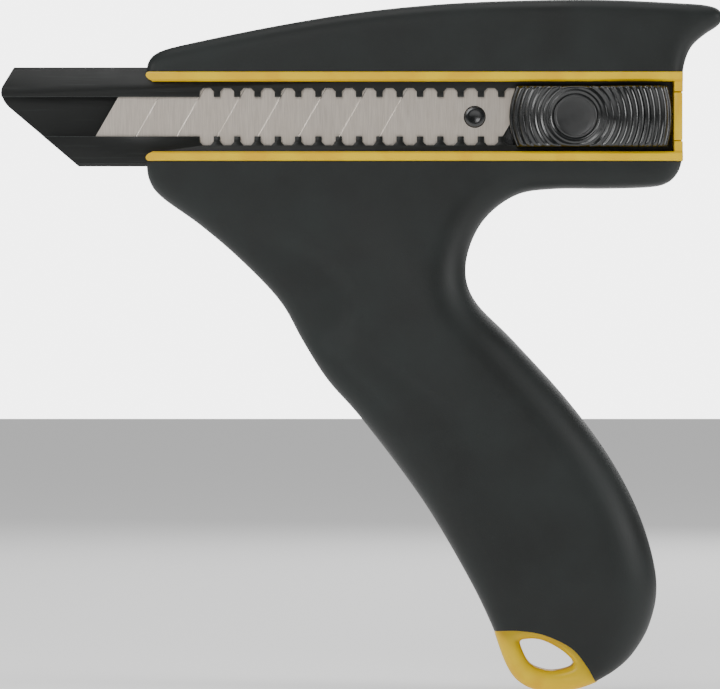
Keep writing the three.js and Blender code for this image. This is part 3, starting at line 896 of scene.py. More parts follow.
# ------------------------------------------------------------------------------------------ the covers
@dataclass
class Covers:
    """The black elastomer covers: one rounded body, cut into its three mouldings.

    Each point of an outline is x, z and how far the edge there is rounded over.

    Attributes:
        layout: where the drawing lies.
        barrel_half: half the thickness of the barrel.
        swell: how much thicker each side of the grip is.
        swell_behind: how far below the barrel the swell begins and is full, behind the scoop.
        swell_below: the same under the scoop, where it starts lower.
        scoop_back: where the scoop's back gives way to the swell, along x, 30 below the middle of the blade.
        scoop_slope: how far that place moves forward for each millimetre further down.
        butt_loss: how much of the swell is gone at the butt.
        butt_fall: how far below the barrel the swell begins to go, and where it is gone.
        horn_loss: how much thinner each side of the horn is.
        horn_fall: where along x the horn begins to thin, and where it is thinnest.
        scoop_depth: how deep the forefinger's scoop is.
        voxel: size of the mesh's squares.
        passes: how often the mesh is smoothed.
        skin: how thick the elastomer is.
        well_r: radius of the wells that the case screws lie in.
        well_from: y at which they begin.
        spine: the outline from the muzzle over the top to the horn and the end wall.
        back: from the end wall round the web and down the back of the grip.
        under_loop: round outside the loop, to be cut off at the butt.
        butt: the line along which the covers end against the loop.
        front: up the front of the grip to the muzzle.
        scoop: the edge of the scoop, from the muzzle to the front of the grip.
        scoop_front: x and z of three places off the tool that close the scoop's edge.
        screws: x and z of each case screw, as the frame has them.
    """

    layout: Layout
    barrel_half: float = 9.5
    swell: float = 5.0
    swell_behind: tuple[float, float] = (13.0, 62.0)
    swell_below: tuple[float, float] = (58.0, 86.0)
    scoop_back: tuple[float, float] = (82.0, 108.0)
    scoop_slope: float = 0.45
    butt_loss: float = 3.6
    butt_fall: tuple[float, float] = (122.0, 154.0)
    horn_loss: float = 0.9
    horn_fall: tuple[float, float] = (180.0, 196.0)
    scoop_depth: float = 1.8
    voxel: float = 0.8
    passes: int = 8
    skin: float = 1.6
    well_r: float = 3.5
    well_from: float = 2.0
    spine: Sequence[tuple[float, float, float]] = (
        (39.6, 12.1, 3.0),
        (40.2, 15.2, 4.0),
        (43.6, 17.9, 4.4),
        (54.0, 20.5, 4.6),
        (75.8, 24.9, 4.8),
        (97.5, 28.4, 4.8),
        (119.3, 30.6, 4.8),
        (141.0, 31.6, 4.8),
        (162.7, 31.8, 4.8),
        (184.0, 30.9, 4.6),
        (191.6, 30.3, 4.0),
        (195.2, 28.9, 3.4),
        (195.6, 25.6, 3.4),
        (191.6, 22.9, 4.4),
        (187.0, 18.6, 4.8),
        (184.8, 12.1, 4.0),
    )
    back: Sequence[tuple[float, float, float]] = (
        (184.8, -12.1, 4.0),
        (183.4, -15.6, 4.4),
        (179.0, -18.6, 4.6),
        (165.0, -19.3, 4.8),
        (150.0, -19.4, 5.4),
        (139.4, -21.3, 7.0),
        (130.4, -28.8, 9.0),
        (126.2, -40.0, 10.0),
        (128.5, -49.6, 11.5),
        (138.9, -60.4, 12.5),
        (153.8, -76.8, 13.0),
        (165.8, -93.2, 13.0),
        (173.9, -109.4, 13.0),
        (178.0, -125.7, 13.0),
        (176.2, -137.4, 12.0),
        (171.4, -145.7, 9.5),
        (166.4, -150.2, 7.5),
        (161.3, -153.1, 6.0),
    )
    under_loop: Sequence[tuple[float, float, float]] = (
        (161.3, -153.1, 6.0),
        (156.5, -155.2, 6.0),
        (150.0, -156.0, 6.0),
        (144.2, -155.2, 6.0),
        (139.6, -152.3, 6.0),
        (136.6, -147.3, 6.0),
        (133.9, -139.2, 6.0),
    )
    butt: Sequence[tuple[float, float]] = (
        (163.5, -156.8),
        (161.4, -153.3),
        (158.7, -148.6),
        (154.5, -143.7),
        (147.3, -140.2),
        (140.4, -139.0),
        (133.9, -139.2),
        (130.0, -139.6),
    )
    front: Sequence[tuple[float, float, float]] = (
        (133.9, -139.2, 6.0),
        (127.4, -125.7, 8.0),
        (114.6, -104.0, 9.0),
        (98.3, -82.2, 9.0),
        (88.8, -71.4, 8.0),
        (82.0, -60.8, 6.5),
        (75.8, -49.9, 5.5),
        (64.9, -38.5, 5.0),
        (54.0, -29.2, 4.8),
        (43.6, -21.7, 4.6),
        (40.3, -17.2, 4.0),
        (39.6, -12.1, 3.0),
    )
    scoop: Sequence[tuple[float, float]] = (
        (36.0, -12.5),
        (54.0, -17.6),
        (71.7, -25.8),
        (86.6, -35.4),
        (95.8, -44.0),
        (98.9, -52.3),
        (97.6, -60.0),
        (93.4, -65.2),
        (86.0, -69.0),
    )
    scoop_front: Sequence[tuple[float, float]] = ((70.0, -84.0), (20.0, -60.0), (20.0, -12.5))
    screws: dict[str, tuple[float, float]] = field(default_factory=dict)

    def outline(self) -> np.ndarray:
        """Returns the closed outline, which takes in the loop: x, z and rounding of each sample."""
        runs = [flowing(run, 6)[:-1] for run in (self.spine, self.back, self.under_loop, self.front)]
        return np.vstack(runs)

    def half_thickness(self, points: np.ndarray) -> np.ndarray:
        """Works out how thick the body is before its edges are rounded.

        Args:
            points: x and z of each place.

        Returns:
            Half the thickness at each.
        """
        x, z = points.T
        below_barrel = ease(-z, *self.swell_behind)
        behind_scoop = ease(x + self.scoop_slope * (z + 30.0), *self.scoop_back)
        full_grip = ease(-z, *self.swell_below)
        swell = self.swell * below_barrel * np.maximum(behind_scoop, full_grip)
        lost = self.butt_loss * ease(-z, *self.butt_fall) + self.horn_loss * ease(x, *self.horn_fall)
        return self.barrel_half + swell - lost - self.scooped(points)

    def scooped(self, points: np.ndarray) -> np.ndarray:
        """Works out how deep the forefinger's scoop is.

        Args:
            points: x and z of each place.

        Returns:
            Its depth at each, 0 outside it.
        """
        edge = flowing(self.scoop, 6)
        ring = np.vstack([edge, self.scoop_front])
        x, z = points.T
        inside = np.zeros(len(points), bool)
        for (x0, z0), (x1, z1) in zip(ring, np.roll(ring, -1, axis=0)):
            if z0 != z1:
                inside ^= ((z0 > z) != (z1 > z)) & (x < (x1 - x0) * (z - z0) / (z1 - z0) + x0)
        # Only the drawn edge counts, so the scoop runs out over the front of the tool.
        gap = np.full(len(points), np.inf)
        for start, end in zip(edge, edge[1:]):
            along = end - start
            share = np.clip((points - start) @ along / (along @ along), 0.0, 1.0)
            gap = np.minimum(gap, np.linalg.norm(points - start - share[:, None] * along, axis=1))
        # Its side is a long slope near the muzzle, a short one under the forefinger and longer again below.
        ramp = 13.0 - 8.5 * ease(x, 58.0, 90.0) + 5.5 * ease(-z, 50.0, 62.0)
        return np.where(inside, self.scoop_depth * ease(gap / ramp, 0.0, 1.0), 0.0)

    def body(self) -> bmesh.types.BMesh:
        """Makes the whole rounded body and cuts it off at the loop.

        Returns:
            The closed body, in drawing millimetres.
        """
        outline = self.outline()
        plain = self.barrel_half + self.swell
        blank = extruded(outline, -plain, plain)
        bm = moulded(blank, [outline], self.half_thickness, self.voxel, self.passes)
        below_tool = [(118.0, -175.0), (167.0, -175.0)]
        cutter = extruded(np.vstack([flowing(self.butt), below_tool]), -THROUGH, THROUGH)
        return carved(bm, [cutter], Join.CUT)

    def moulding(self, whole: bmesh.types.BMesh, side: Side, over: float | None) -> bmesh.types.BMesh:
        """Cuts one cover out of the body and gives it its thickness.

        Args:
            whole: the closed body. It is left as it is.
            side: which side of the parting plane the cover is on.
            over: on the worked side, +1 for the cover above the slot and -1 for the one below it.

        Returns:
            The cover as a closed shell, in drawing millimetres.
        """
        bm = whole.copy()
        split(bm, (0.0, 0.0, 0.0), (0.0, -side.value, 0.0), clear=True)
        if over is not None:
            split(bm, (0.0, 0.0, over * RIM_OUTSIDE), (0.0, 0.0, -over), clear=True)
        return with_modifier(bm, "SOLIDIFY", thickness=self.skin, offset=-1.0, use_rim=True)

    def with_wells(self, cover: bmesh.types.BMesh) -> bmesh.types.BMesh:
        """Opens the round wells that the case screws are driven through.

        Args:
            cover: the cover on the closed side. It is freed.

        Returns:
            The cover with its wells.
        """
        r, near, far = self.well_r, self.well_from, THROUGH
        profile = ((0.0, near), (r, near), (r, far), (0.0, far))
        return carved(cover, [lathed(profile, place, 48) for place in self.screws.values()], Join.CUT)

    def build(self) -> None:
        """Makes the three covers."""
        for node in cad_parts:
            if node.startswith("case_screw_"):
                low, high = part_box(node)
                middle = ((low + high) / 2 - self.layout.origin) / MM
                self.screws[node] = (middle.x, middle.z)
        whole = self.body()
        covers = {
            "spine_cover": self.moulding(whole, Side.WORKED, 1.0),
            "grip_cover": self.moulding(whole, Side.WORKED, -1.0),
            "back_cover": self.with_wells(self.moulding(whole, Side.CLOSED, None)),
        }
        whole.free()
        for name, bm in covers.items():
            bmesh.ops.transform(bm, matrix=self.layout.matrix(), verts=bm.verts)
            settle(new_object(bm, f"{name}_skin", 40.0), Body.HANDLE, ELASTOMER, [name])


# ------------------------------------------------------------------------------------------ the core
@dataclass
class Core:
    """The yellow core: its two halves, the loop at the butt and the stop in the end wall.

    Attributes:
        layout: where the drawing lies.
        rim_face: y of the rims' faces.
        rim_edges: height of each of a rim's long edges, and how much is taken off it.
        stop_edge: width of the rear stop's eased edges.
        tang_size: the tang that runs up from the loop between the two halves, along x, y and z.
        tang_middle: its middle.
        loop_half: half the loop's thickness.
        loop_voxel: size of the squares of the loop's mesh.
        eye_round: how far the edge of the eye is rounded over.
        loop_outside: the loop's free edge: x, z and rounding.
        loop_inside: the edge that is tucked under the covers.
        eye: the hole that a cord goes through.
    """

    layout: Layout
    rim_face: float = -9.8
    rim_edges: Sequence[tuple[float, float]] = ((9.5, 0.6), (12.05, 0.35))
    stop_edge: float = 0.25
    tang_size: tuple[float, float, float] = (14.0, 4.4, 12.0)
    tang_middle: tuple[float, float, float] = (149.5, 0.0, -133.5)
    loop_half: float = 5.0
    loop_voxel: float = 0.36
    eye_round: float = 2.0
    loop_outside: Sequence[tuple[float, float, float]] = (
        (161.6, -153.4, 2.2),
        (156.5, -155.2, 3.4),
        (150.0, -156.0, 3.6),
        (144.2, -155.2, 3.6),
        (139.6, -152.3, 3.4),
        (136.6, -147.3, 3.0),
        (133.9, -139.6, 2.2),
    )
    loop_inside: Sequence[tuple[float, float, float]] = (
        (133.9, -139.6, 0.8),
        (134.8, -138.2, 0.8),
        (140.4, -137.9, 0.8),
        (147.6, -139.1, 0.8),
        (155.4, -142.7, 0.8),
        (160.2, -147.9, 0.8),
        (162.2, -151.9, 0.8),
        (161.6, -153.4, 0.8),
    )
    eye: Sequence[tuple[float, float]] = (
        (140.6, -141.9),
        (142.0, -145.6),
        (144.2, -148.6),
        (149.2, -150.1),
        (153.9, -149.4),
        (155.4, -148.0),
        (152.9, -145.2),
        (148.4, -142.5),
        (144.6, -141.5),
        (140.6, -141.9),
    )

    def loop_thickness(self, points: np.ndarray) -> np.ndarray:
        """Returns half the loop's thickness at each x and z, which is the same all round."""
        return np.full(len(points), self.loop_half)

    def loop(self) -> bmesh.types.BMesh:
        """Makes the loop with its tang, well rounded where fingers and cord touch it.

        Returns:
            The closed loop, in drawing millimetres.
        """
        outside = np.vstack([flowing(self.loop_outside)[:-1], flowing(self.loop_inside)[:-1]])
        eye = flowing(self.eye)[:-1]
        plain = self.loop_half + 0.4
        blank = carved(extruded(outside, -plain, plain), [extruded(eye, -THROUGH, THROUGH)], Join.CUT)
        eye_ring = np.column_stack([eye[:, :2], np.full(len(eye), self.eye_round)])
        ring = moulded(blank, [outside, eye_ring], self.loop_thickness, self.loop_voxel, 5)
        tang = bmesh.new()
        bmesh.ops.create_cube(tang, size=1.0)
        bmesh.ops.scale(tang, vec=self.tang_size, verts=tang.verts)
        bmesh.ops.translate(tang, vec=self.tang_middle, verts=tang.verts)
        return carved(ring, [tang], Join.ADD)

    def near_half(self) -> bmesh.types.BMesh:
        """Takes the long edges off the rims of the core's near half.

        Returns:
            The near half, in metres.
        """
        bm = clean_copy("near_core")
        bmesh.ops.transform(bm, matrix=self.layout.matrix().inverted(), verts=bm.verts)
        front, back = (corner.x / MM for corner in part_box("near_core"))
        length = back - front
        cutters = []
        for level, leg in self.rim_edges:
            for sign in (-1.0, 1.0):
                # A square bar turned by an eighth, whose flat takes the edge off at 45 degrees.
                bar = bmesh.new()
                bmesh.ops.create_cube(bar, size=1.0)
                side = leg * math.sqrt(2.0)
                bmesh.ops.scale(bar, vec=(length + 2 * PAST_END, side, side), verts=bar.verts)
                turn = Matrix.Rotation(math.pi / 4, 3, "X")
                bmesh.ops.rotate(bar, cent=(0.0, 0.0, 0.0), matrix=turn, verts=bar.verts)
                middle = (BARREL_FRONT + length / 2, self.rim_face, sign * level)
                bmesh.ops.translate(bar, vec=middle, verts=bar.verts)
                cutters.append(bar)
        bm = carved(bm, cutters, Join.CUT)
        bmesh.ops.transform(bm, matrix=self.layout.matrix(), verts=bm.verts)
        return bm

    def build(self) -> None:
        """Makes the loop, the eased near half and the stop, and dresses the far half."""
        loop = self.loop()
        bmesh.ops.transform(loop, matrix=self.layout.matrix(), verts=loop.verts)
        settle(new_object(loop, "lanyard_loop_moulding"), Body.HANDLE, ABS, ["lanyard_loop"])
        settle(new_object(self.near_half(), "near_core_moulding"), Body.HANDLE, ABS, ["near_core"])
        stop = new_object(eased_copy("rear_stop", self.stop_edge), "rear_stop_moulding")
        settle(stop, Body.STOP, ABS, ["rear_stop"])
        dress_node("far_core", ABS)


# ------------------------------------------------------------------------------------------ the channel
@dataclass
class Channel:
    """The notched steel channel and what holds it.

    Attributes:
        layout: where the drawing lies.
        edge: width of the channel's deburred edges.
        punch_corner: how wide the corners of the punched notches and of the muzzle are rounded.
        screw_edge: width of the screws' eased edges.
    """

    layout: Layout
    edge: float = 0.13
    punch_corner: float = 0.45
    screw_edge: float = 0.16

    def build(self) -> None:
        """Makes the channel and its screws."""
        channel = new_object(eased_copy("blade_channel", self.edge, self.punch_corner), "blade_channel_fold")
        settle(channel, Body.HANDLE, BLACKED, ["blade_channel"])
        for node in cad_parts:
            if node.startswith(("channel_screw_", "case_screw_")):
                screw = new_object(eased_copy(node, self.screw_edge), f"{node}_turned")
                settle(screw, Body.HANDLE, PLATED, [node])


# ------------------------------------------------------------------------------------------ the blade
@dataclass
class Blade:
    """The snap-off blade: scored on both faces, ground along its lower edge, with a hole in its tail.

    Attributes:
        layout: where the drawing lies.
        width: height of the blade.
        rake_deg: slope of the tip and the score lines.
        segment: length of one segment.
        segments: how many score lines there are.
        first_score: where the first one crosses the middle.
        tip: where the tip crosses the middle.
        tail: where the blade ends.
        tail_corner: height below which the tail is cut back at the rake.
        hole: x of the hole's middle.
        hole_r: its radius.
        score_half: half the width of a score line.
        score_depth: how deep it is pressed.
        ground: height of the ground edge.
        edge_left: share of the thickness that is left at the cutting edge.
    """

    layout: Layout
    width: float = 22.0
    rake_deg: float = 60.0
    segment: float = 11.0
    segments: int = 7
    first_score: float = 39.8
    tip: float = 28.9
    tail: float = 141.4
    tail_corner: float = 3.8
    hole: float = 128.6
    hole_r: float = 3.0
    score_half: float = 0.17
    score_depth: float = 0.1
    ground: float = 1.9
    edge_left: float = 0.12

    def build(self) -> None:
        """Makes the blade and its peg."""
        low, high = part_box("blade")
        near, far = low.y / MM, high.y / MM
        half, lean = self.width / 2, 1.0 / math.tan(math.radians(self.rake_deg))
        bm = bmesh.new()
        corners = [
            (self.tip - half * lean, -half),
            (self.tip + half * lean, half),
            (self.tail, half),
            (self.tail, self.tail_corner),
            (self.tail - (half + self.tail_corner) * lean, -half),
        ]
        rim = [bm.verts.new((x, near, z)) for x, z in corners]
        edges = [bm.edges.new((a, b)) for a, b in zip(rim, rim[1:] + rim[:1])]
        turn = Matrix.Translation((self.hole, near, 0.0)) @ Matrix.Rotation(math.pi / 2, 4, "X")
        circle = bmesh.ops.create_circle(bm, segments=64, radius=self.hole_r, matrix=turn)
        edges += list({e for v in circle["verts"] for e in v.link_edges})
        bmesh.ops.triangle_fill(bm, edges=edges, use_beauty=True, use_dissolve=False)
        raised = bmesh.ops.extrude_face_region(bm, geom=list(bm.faces), use_keep_orig=True)
        moved = [g for g in raised["geom"] if isinstance(g, bmesh.types.BMVert)]
        bmesh.ops.translate(bm, verts=moved, vec=(0.0, far - near, 0.0))
        bmesh.ops.recalc_face_normals(bm, faces=bm.faces)
        bmesh.ops.dissolve_limit(bm, angle_limit=math.radians(0.5), verts=bm.verts, edges=bm.edges)
        self.score(bm, near, far, lean)
        self.grind(bm, near, far, half)
        bmesh.ops.transform(bm, matrix=self.layout.matrix(), verts=bm.verts)
        settle(new_object(bm, "blade_ground", 12.0), Body.SLIDE, BLADE_STEEL, ["blade"])
        self.peg()

    def score(self, bm: bmesh.types.BMesh, near: float, far: float, lean: float) -> None:
        """Presses the score lines into both faces.

        Args:
            bm: the flat blade.
            near: y of its near face.
            far: y of its far face.
            lean: how far a score line leans back for each millimetre up.
        """
        across = Vector((math.cos(math.atan(lean)), 0.0, -math.sin(math.atan(lean))))
        for i in range(self.segments):
            middle = Vector((self.first_score + i * self.segment, 0.0, 0.0))
            for shift in (-self.score_half, 0.0, self.score_half):
                split(bm, middle + across * shift, across)
            for vert in bm.verts:
                if abs((vert.co - middle).dot(across)) < 1e-3:
                    inwards = 1.0 if abs(vert.co.y - near) < abs(vert.co.y - far) else -1.0
                    vert.co.y += inwards * self.score_depth

    def grind(self, bm: bmesh.types.BMesh, near: float, far: float, half: float) -> None:
        """Brings the lower edge to a fine flat.

        Args:
            bm: the blade.
            near: y of its near face.
            far: y of its far face.
            half: half its height.
        """
        split(bm, (0.0, 0.0, self.ground - half), (0.0, 0.0, 1.0))
        middle = (near + far) / 2
        for vert in bm.verts:
            if vert.co.z < 1e-3 - half:
                vert.co.y = middle + (vert.co.y - middle) * self.edge_left

    def peg(self) -> None:
        """Makes the peg that stands in the hole, with its turned shoulder."""
        low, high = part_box("blade_peg")
        centre = ((low + high) / 2 - self.layout.origin) / MM
        r, top, foot = (high.x - low.x) / 2 / MM, low.y / MM, high.y / MM
        # A shallow centre, the turned face, the shoulder, the shank and the foot.
        profile = (
            (0.0, top + 0.12),
            (1.2, top + 0.1),
            (1.5, top),
            (r - 0.45, top),
            (r - 0.12, top + 0.14),
            (r, top + 0.5),
            (r, foot - 0.7),
            (1.6, foot - 0.7),
            (1.6, foot),
            (0.0, foot),
        )
        bm = lathed(profile, (centre.x, centre.z), 64)
        bmesh.ops.transform(bm, matrix=self.layout.matrix(), verts=bm.verts)
        settle(new_object(bm, "blade_peg_moulding"), Body.SLIDE, NYLON, ["blade_peg"])


# ------------------------------------------------------------------------------------------ the slide
@dataclass
class Slide:
    """What the thumb works: the ribbed pad, its button, and the plate, leaf and screws behind them.

    Attributes:
        layout: where the drawing lies.
        centre: x and z of the button.
        front_r: radius of the pad's front end.
        rear_r: radius of its rear end.
        half: half its width.
        well_r: radius of the button's well.
        stem_r: radius of the hole for the button's stem.
        well_floor: y of the well's floor.
        rib_start: radius of the first rib.
        rib_pitch: distance from one rib to the next.
        rib_height: how far each stands up.
        base: y of the pad's underside.
        foot: y of the end of its neck.
        neck: x limits and half width of the neck.
        leaf_bend: x where the leaf starts to bend, by its screws, and where the button carries it.
        leaf_steps: how many straight steps the bend has.
        rings: how many corners a line from the button to the pad's end has.
        rays: how many such lines go round.
        carriage_edge: width of the carriage's eased edges.
        leaf_edge: width of the leaf's.
        screw_edge: width of the screws'.
        side_view: y of the pad's top, along x from the button.
    """

    layout: Layout
    centre: tuple[float, float] = (155.7, 0.0)
    front_r: float = 17.8
    rear_r: float = 26.2
    half: float = 8.2
    well_r: float = 6.05
    stem_r: float = 2.05
    well_floor: float = -6.9
    rib_start: float = 6.4
    rib_pitch: float = 1.63
    rib_height: float = 0.5
    base: float = -6.05
    foot: float = -4.75
    neck: tuple[float, float, float] = (143.0, 177.4, 4.9)
    leaf_bend: tuple[float, float] = (165.2, 158.2)
    leaf_steps: int = 10
    rings: int = 126
    rays: int = 264
    carriage_edge: float = 0.2
    leaf_edge: float = 0.07
    screw_edge: float = 0.12
    side_view: Sequence[tuple[float, float]] = (
        (-18.0, -8.3),
        (-15.0, -9.7),
        (-11.0, -10.7),
        (-6.5, -10.5),
        (0.0, -10.4),
        (6.5, -10.5),
        (10.0, -11.3),
        (14.0, -12.1),
        (18.0, -12.2),
        (22.0, -11.4),
        (26.4, -9.2),
    )

    def top(self, place: np.ndarray) -> np.ndarray:
        """Works out the pad's top: its side view, ribs, rounded rim and the lip round the button.

        Args:
            place: x and z of each place, measured from the button.

        Returns:
            Its y at each.
        """
        x, z = place.T
        away = np.hypot(x, z)
        side = flowing(self.side_view, 12)
        level = np.interp(x, side[:, 0], side[:, 1])
        wave = np.abs(np.cos(math.pi * (away - self.rib_start) / self.rib_pitch)) ** 0.8
        ribs = self.rib_height * (wave - 1.0) * ease(away, 6.7, 7.9)
        end = np.where(x < 0, self.front_r, self.rear_r)
        rim = np.maximum(np.abs(z) - (self.half - 0.9), away - (end - 0.9)) / 0.9
        fall = 0.7 * (1.0 - np.sqrt(1.0 - np.clip(rim, 0.0, 1.0) ** 2))
        lip = 0.28 * ease(-away, -6.9, -6.3)
        return level - ribs + fall + lip

    def pad(self) -> bmesh.types.BMesh:
        """Makes the pad with its ribs, well and neck.

        Returns:
            The closed pad, in drawing millimetres.
        """
        bm = bmesh.new()
        radii = np.linspace(self.well_r, self.rear_r, self.rings)
        ray = [bm.verts.new((r, 0.0, 0.0)) for r in radii]
        edges = [bm.edges.new(pair) for pair in zip(ray, ray[1:])]
        bmesh.ops.spin(
            bm,
            geom=[*ray, *edges],
            cent=(0.0, 0.0, 0.0),
            axis=(0.0, 1.0, 0.0),
            angle=math.tau,
            steps=self.rays,
            use_merge=True,
        )
        past = [
            f
            for f in bm.faces
            if f.calc_center_median().x < 0 and f.calc_center_median().length > self.front_r
        ]
        bmesh.ops.delete(bm, geom=past, context="FACES")
        for sign in (-1.0, 1.0):
            split(bm, (0.0, 0.0, sign * self.half), (0.0, 0.0, sign), clear=True)
        place = np.array([v.co[:] for v in bm.verts])
        for vert, y in zip(bm.verts, self.top(place[:, [0, 2]])):
            vert.co.y = y
        border = [e for e in bm.edges if e.is_boundary]
        inner = [e for e in border if e.verts[0].co.xz.length < self.well_r + 0.01]
        outer = [e for e in border if e not in set(inner)]
        skirt = self.drawn_down(bm, outer, self.base)
        wall = self.drawn_down(bm, inner, self.well_floor)
        mouth = self.drawn_down(bm, wall, self.well_floor, self.stem_r / self.well_r)
        bore = self.drawn_down(bm, mouth, self.foot)
        x0, x1 = self.neck[0] - self.centre[0], self.neck[1] - self.centre[0]
        z = self.neck[2]
        corners = [bm.verts.new((x, self.base, h)) for x, h in ((x0, -z), (x1, -z), (x1, z), (x0, z))]
        shoulder = [bm.edges.new((a, b)) for a, b in zip(corners, corners[1:] + corners[:1])]
        bmesh.ops.triangle_fill(bm, edges=[*skirt, *shoulder], use_beauty=True)
        sole = self.drawn_down(bm, shoulder, self.foot)
        bmesh.ops.triangle_fill(bm, edges=[*sole, *bore], use_beauty=True)
        bmesh.ops.recalc_face_normals(bm, faces=bm.faces)
        bmesh.ops.translate(bm, verts=bm.verts, vec=(self.centre[0], 0.0, self.centre[1]))
        return bm

    @staticmethod
    def drawn_down(
        bm: bmesh.types.BMesh, edges: Sequence[bmesh.types.BMEdge], level: float, shrink: float = 1.0
    ) -> list[bmesh.types.BMEdge]:
        """Extrudes a closed row of edges.

        Args:
            bm: the mesh.
            edges: the row.
            level: y of the new row.
            shrink: how far the new row is drawn in towards the middle.

        Returns:
            The new row.
        """
        grown = bmesh.ops.extrude_edge_only(bm, edges=edges)["geom"]
        for vert in (g for g in grown if isinstance(g, bmesh.types.BMVert)):
            vert.co = (vert.co.x * shrink, level, vert.co.z * shrink)
        return [g for g in grown if isinstance(g, bmesh.types.BMEdge) and g.is_boundary]

    def leaf(self) -> None:
        """Makes the leaf, cut into short straight steps between its screws and the button, where the real leaf
        bends.
        """
        bm = eased_copy("lock_spring", self.leaf_edge)
        start, end = (self.layout.matrix() @ Vector((x, 0.0, 0.0)) for x in self.leaf_bend)
        for i in range(self.leaf_steps + 1):
            split(bm, start.lerp(end, i / self.leaf_steps), (1.0, 0.0, 0.0), near=1e-7)
        made = new_object(bm, "lock_spring_leaf")
        settle(made, Body.SLIDE, SPRING_STEEL, ["lock_spring"], Bend(Body.BUTTON, start, end))

    def button(self) -> bmesh.types.BMesh:
        """Turns the button, with its slightly hollow face, rounded edge and stem.

        Returns:
            The closed button, in drawing millimetres.
        """
        low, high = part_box("lock_button")
        top, foot, r = low.y / MM, high.y / MM, (high.x - low.x) / 2 / MM
        face = [(0.0, top + 0.5), (2.0, top + 0.49), (3.8, top + 0.44), (4.7, top + 0.36), (5.05, top + 0.3)]
        edge = [(5.2, top + 0.12), (5.4, top + 0.02), (5.6, top + 0.02), (5.8, top + 0.14), (r, top + 0.4)]
        stem = [(r, top + 2.4), (1.9, top + 2.4), (1.9, foot), (0.0, foot)]
        return lathed([*face, *edge, *stem], self.centre, 120)

    def build(self) -> None:
        """Makes the pad and the button and dresses the pieces behind them."""
        for bm, name, body, finish, node in (
            (self.pad(), "thumb_pad_moulding", Body.SLIDE, NYLON, "thumb_pad"),
            (self.button(), "lock_button_moulding", Body.BUTTON, BUTTON_NYLON, "lock_button"),
        ):
            bmesh.ops.transform(bm, matrix=self.layout.matrix(), verts=bm.verts)
            settle(new_object(bm, name, 38.0), body, finish, [node])
        carriage = new_object(eased_copy("slide_carriage", self.carriage_edge), "slide_carriage_moulding")
        settle(carriage, Body.SLIDE, NYLON, ["slide_carriage"])
        self.leaf()
        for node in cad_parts:
            if node.startswith("slide_screw_"):
                screw = new_object(eased_copy(node, self.screw_edge), f"{node}_turned")
                settle(screw, Body.SLIDE, PLATED, [node])


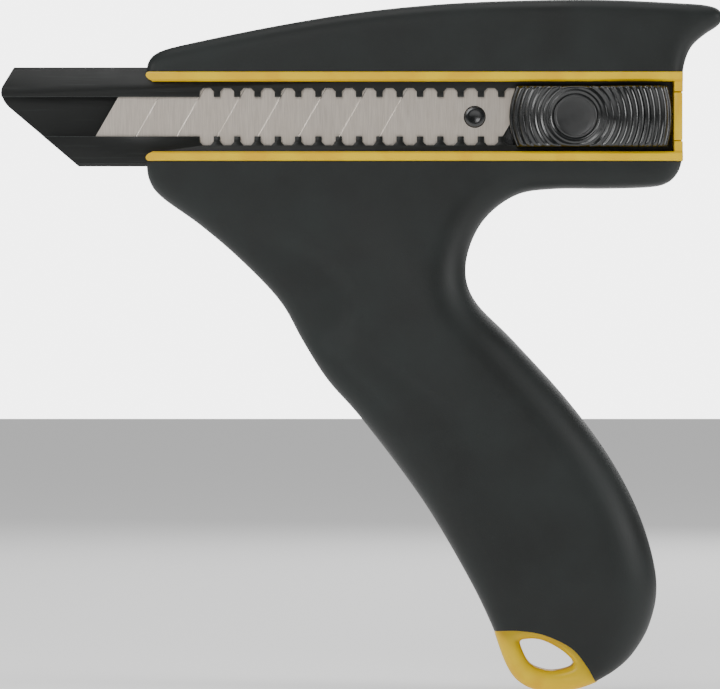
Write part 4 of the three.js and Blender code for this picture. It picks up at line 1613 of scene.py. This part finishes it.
# ------------------------------------------------------------------------------------------ the studio
@dataclass
class Studio:
    """The pale floor, the soft lights and the camera.

    Attributes:
        layout: where the drawing lies.
        view_middle: x and z that the camera looks at.
        view_width: how much of the drawing the picture is wide.
        lens_mm: focal length.
        sensor_mm: width of the sensor.
        room: strength of the light that the room gives off.
        backdrop: how bright the room's wall looks behind the object.
        floor_half: half the width of the floor, in metres.
        floor_gap: how far the floor lies below the object, in metres.
        lights: each soft box's name, its place in metres from the middle of the view, its side and its power.
    """

    layout: Layout
    view_middle: tuple[float, float] = (97.5, -61.7)
    view_width: float = 195.7
    lens_mm: float = 300.0
    sensor_mm: float = 36.0
    room: float = 0.15
    backdrop: float = 5.0
    floor_half: float = 6.0
    floor_gap: float = 0.0002
    lights: Sequence[tuple[str, tuple[float, float, float], float, float]] = (
        ("key", (-0.3, -1.05, 0.5), 0.5, 3.8),
        ("right", (0.9, -0.4, 0.3), 0.4, 4.2),
        ("left", (-0.9, -0.4, 0.45), 0.4, 3.6),
        ("back", (0.4, 1.0, 0.6), 0.8, 6.0),
        ("overhead", (0.0, -0.05, 1.3), 0.8, 6.0),
    )

    def floor(self) -> None:
        """Lays the paper under the object."""
        bm = bmesh.new()
        bmesh.ops.create_grid(bm, x_segments=4, y_segments=4, size=self.floor_half)
        paper = new_object(bm, "floor_paper")
        paper.location.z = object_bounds()[0][2] - self.floor_gap
        paper.data.materials.append(PAPER.material())
        paper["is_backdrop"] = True

    def light(self, name: str, at: Sequence[float], size: float, watts: float) -> None:
        """Hangs one square soft box that faces the object.

        Args:
            name: the light's name.
            at: its place, in metres from the middle of the object.
            size: its side.
            watts: its power.
        """
        data = bpy.data.lights.new(name, "AREA")
        data.shape = "SQUARE"
        data.size = size
        data.energy = watts
        lamp = bpy.data.objects.new(name, data)
        middle = self.layout.origin + Vector((self.view_middle[0], 0.0, self.view_middle[1])) * MM
        lamp.location = middle + Vector(at)
        lamp.rotation_euler = (-Vector(at)).to_track_quat("-Z", "Y").to_euler()
        bpy.context.scene.collection.objects.link(lamp)

    def world(self) -> None:
        """Fills the room with even white light."""
        made = bpy.data.worlds.new("White room")
        made.use_nodes = True
        tree = made.node_tree
        back = tree.nodes["Background"]
        back.inputs["Color"].default_value = linear("FFFFFF")
        seen = add_node(tree, "ShaderNodeLightPath").outputs["Is Camera Ray"]
        strength = add_node(tree, "ShaderNodeMapRange", {0: seen, 3: self.room, 4: self.backdrop})
        tree.links.new(strength.outputs["Result"], back.inputs["Strength"])
        bpy.context.scene.world = made

    def camera(self) -> None:
        """Stands the camera square to the worked side."""
        data = bpy.data.cameras.new("Camera")
        data.lens = self.lens_mm
        data.sensor_width = self.sensor_mm
        data.clip_end = 20.0
        eye = bpy.data.objects.new("Camera", data)
        away = self.view_width * MM * self.lens_mm / self.sensor_mm
        place = Vector((self.view_middle[0] * MM, -away, self.view_middle[1] * MM))
        eye.location = self.layout.origin + place
        eye.rotation_euler = (math.pi / 2, 0.0, 0.0)
        bpy.context.scene.collection.objects.link(eye)
        bpy.context.scene.camera = eye

    def build(self) -> None:
        """Sets the whole studio up."""
        self.floor()
        self.world()
        for light in self.lights:
            self.light(*light)
        self.camera()


def main() -> None:
    """Builds every piece in order."""
    logging.basicConfig(level=logging.INFO, format="%(message)s")
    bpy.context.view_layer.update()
    layout = Layout.from_frame()
    Covers(layout).build()
    Core(layout).build()
    Channel(layout).build()
    Blade(layout).build()
    Slide(layout).build()
    Studio(layout).build()


if __name__ == "__main__":
    main()
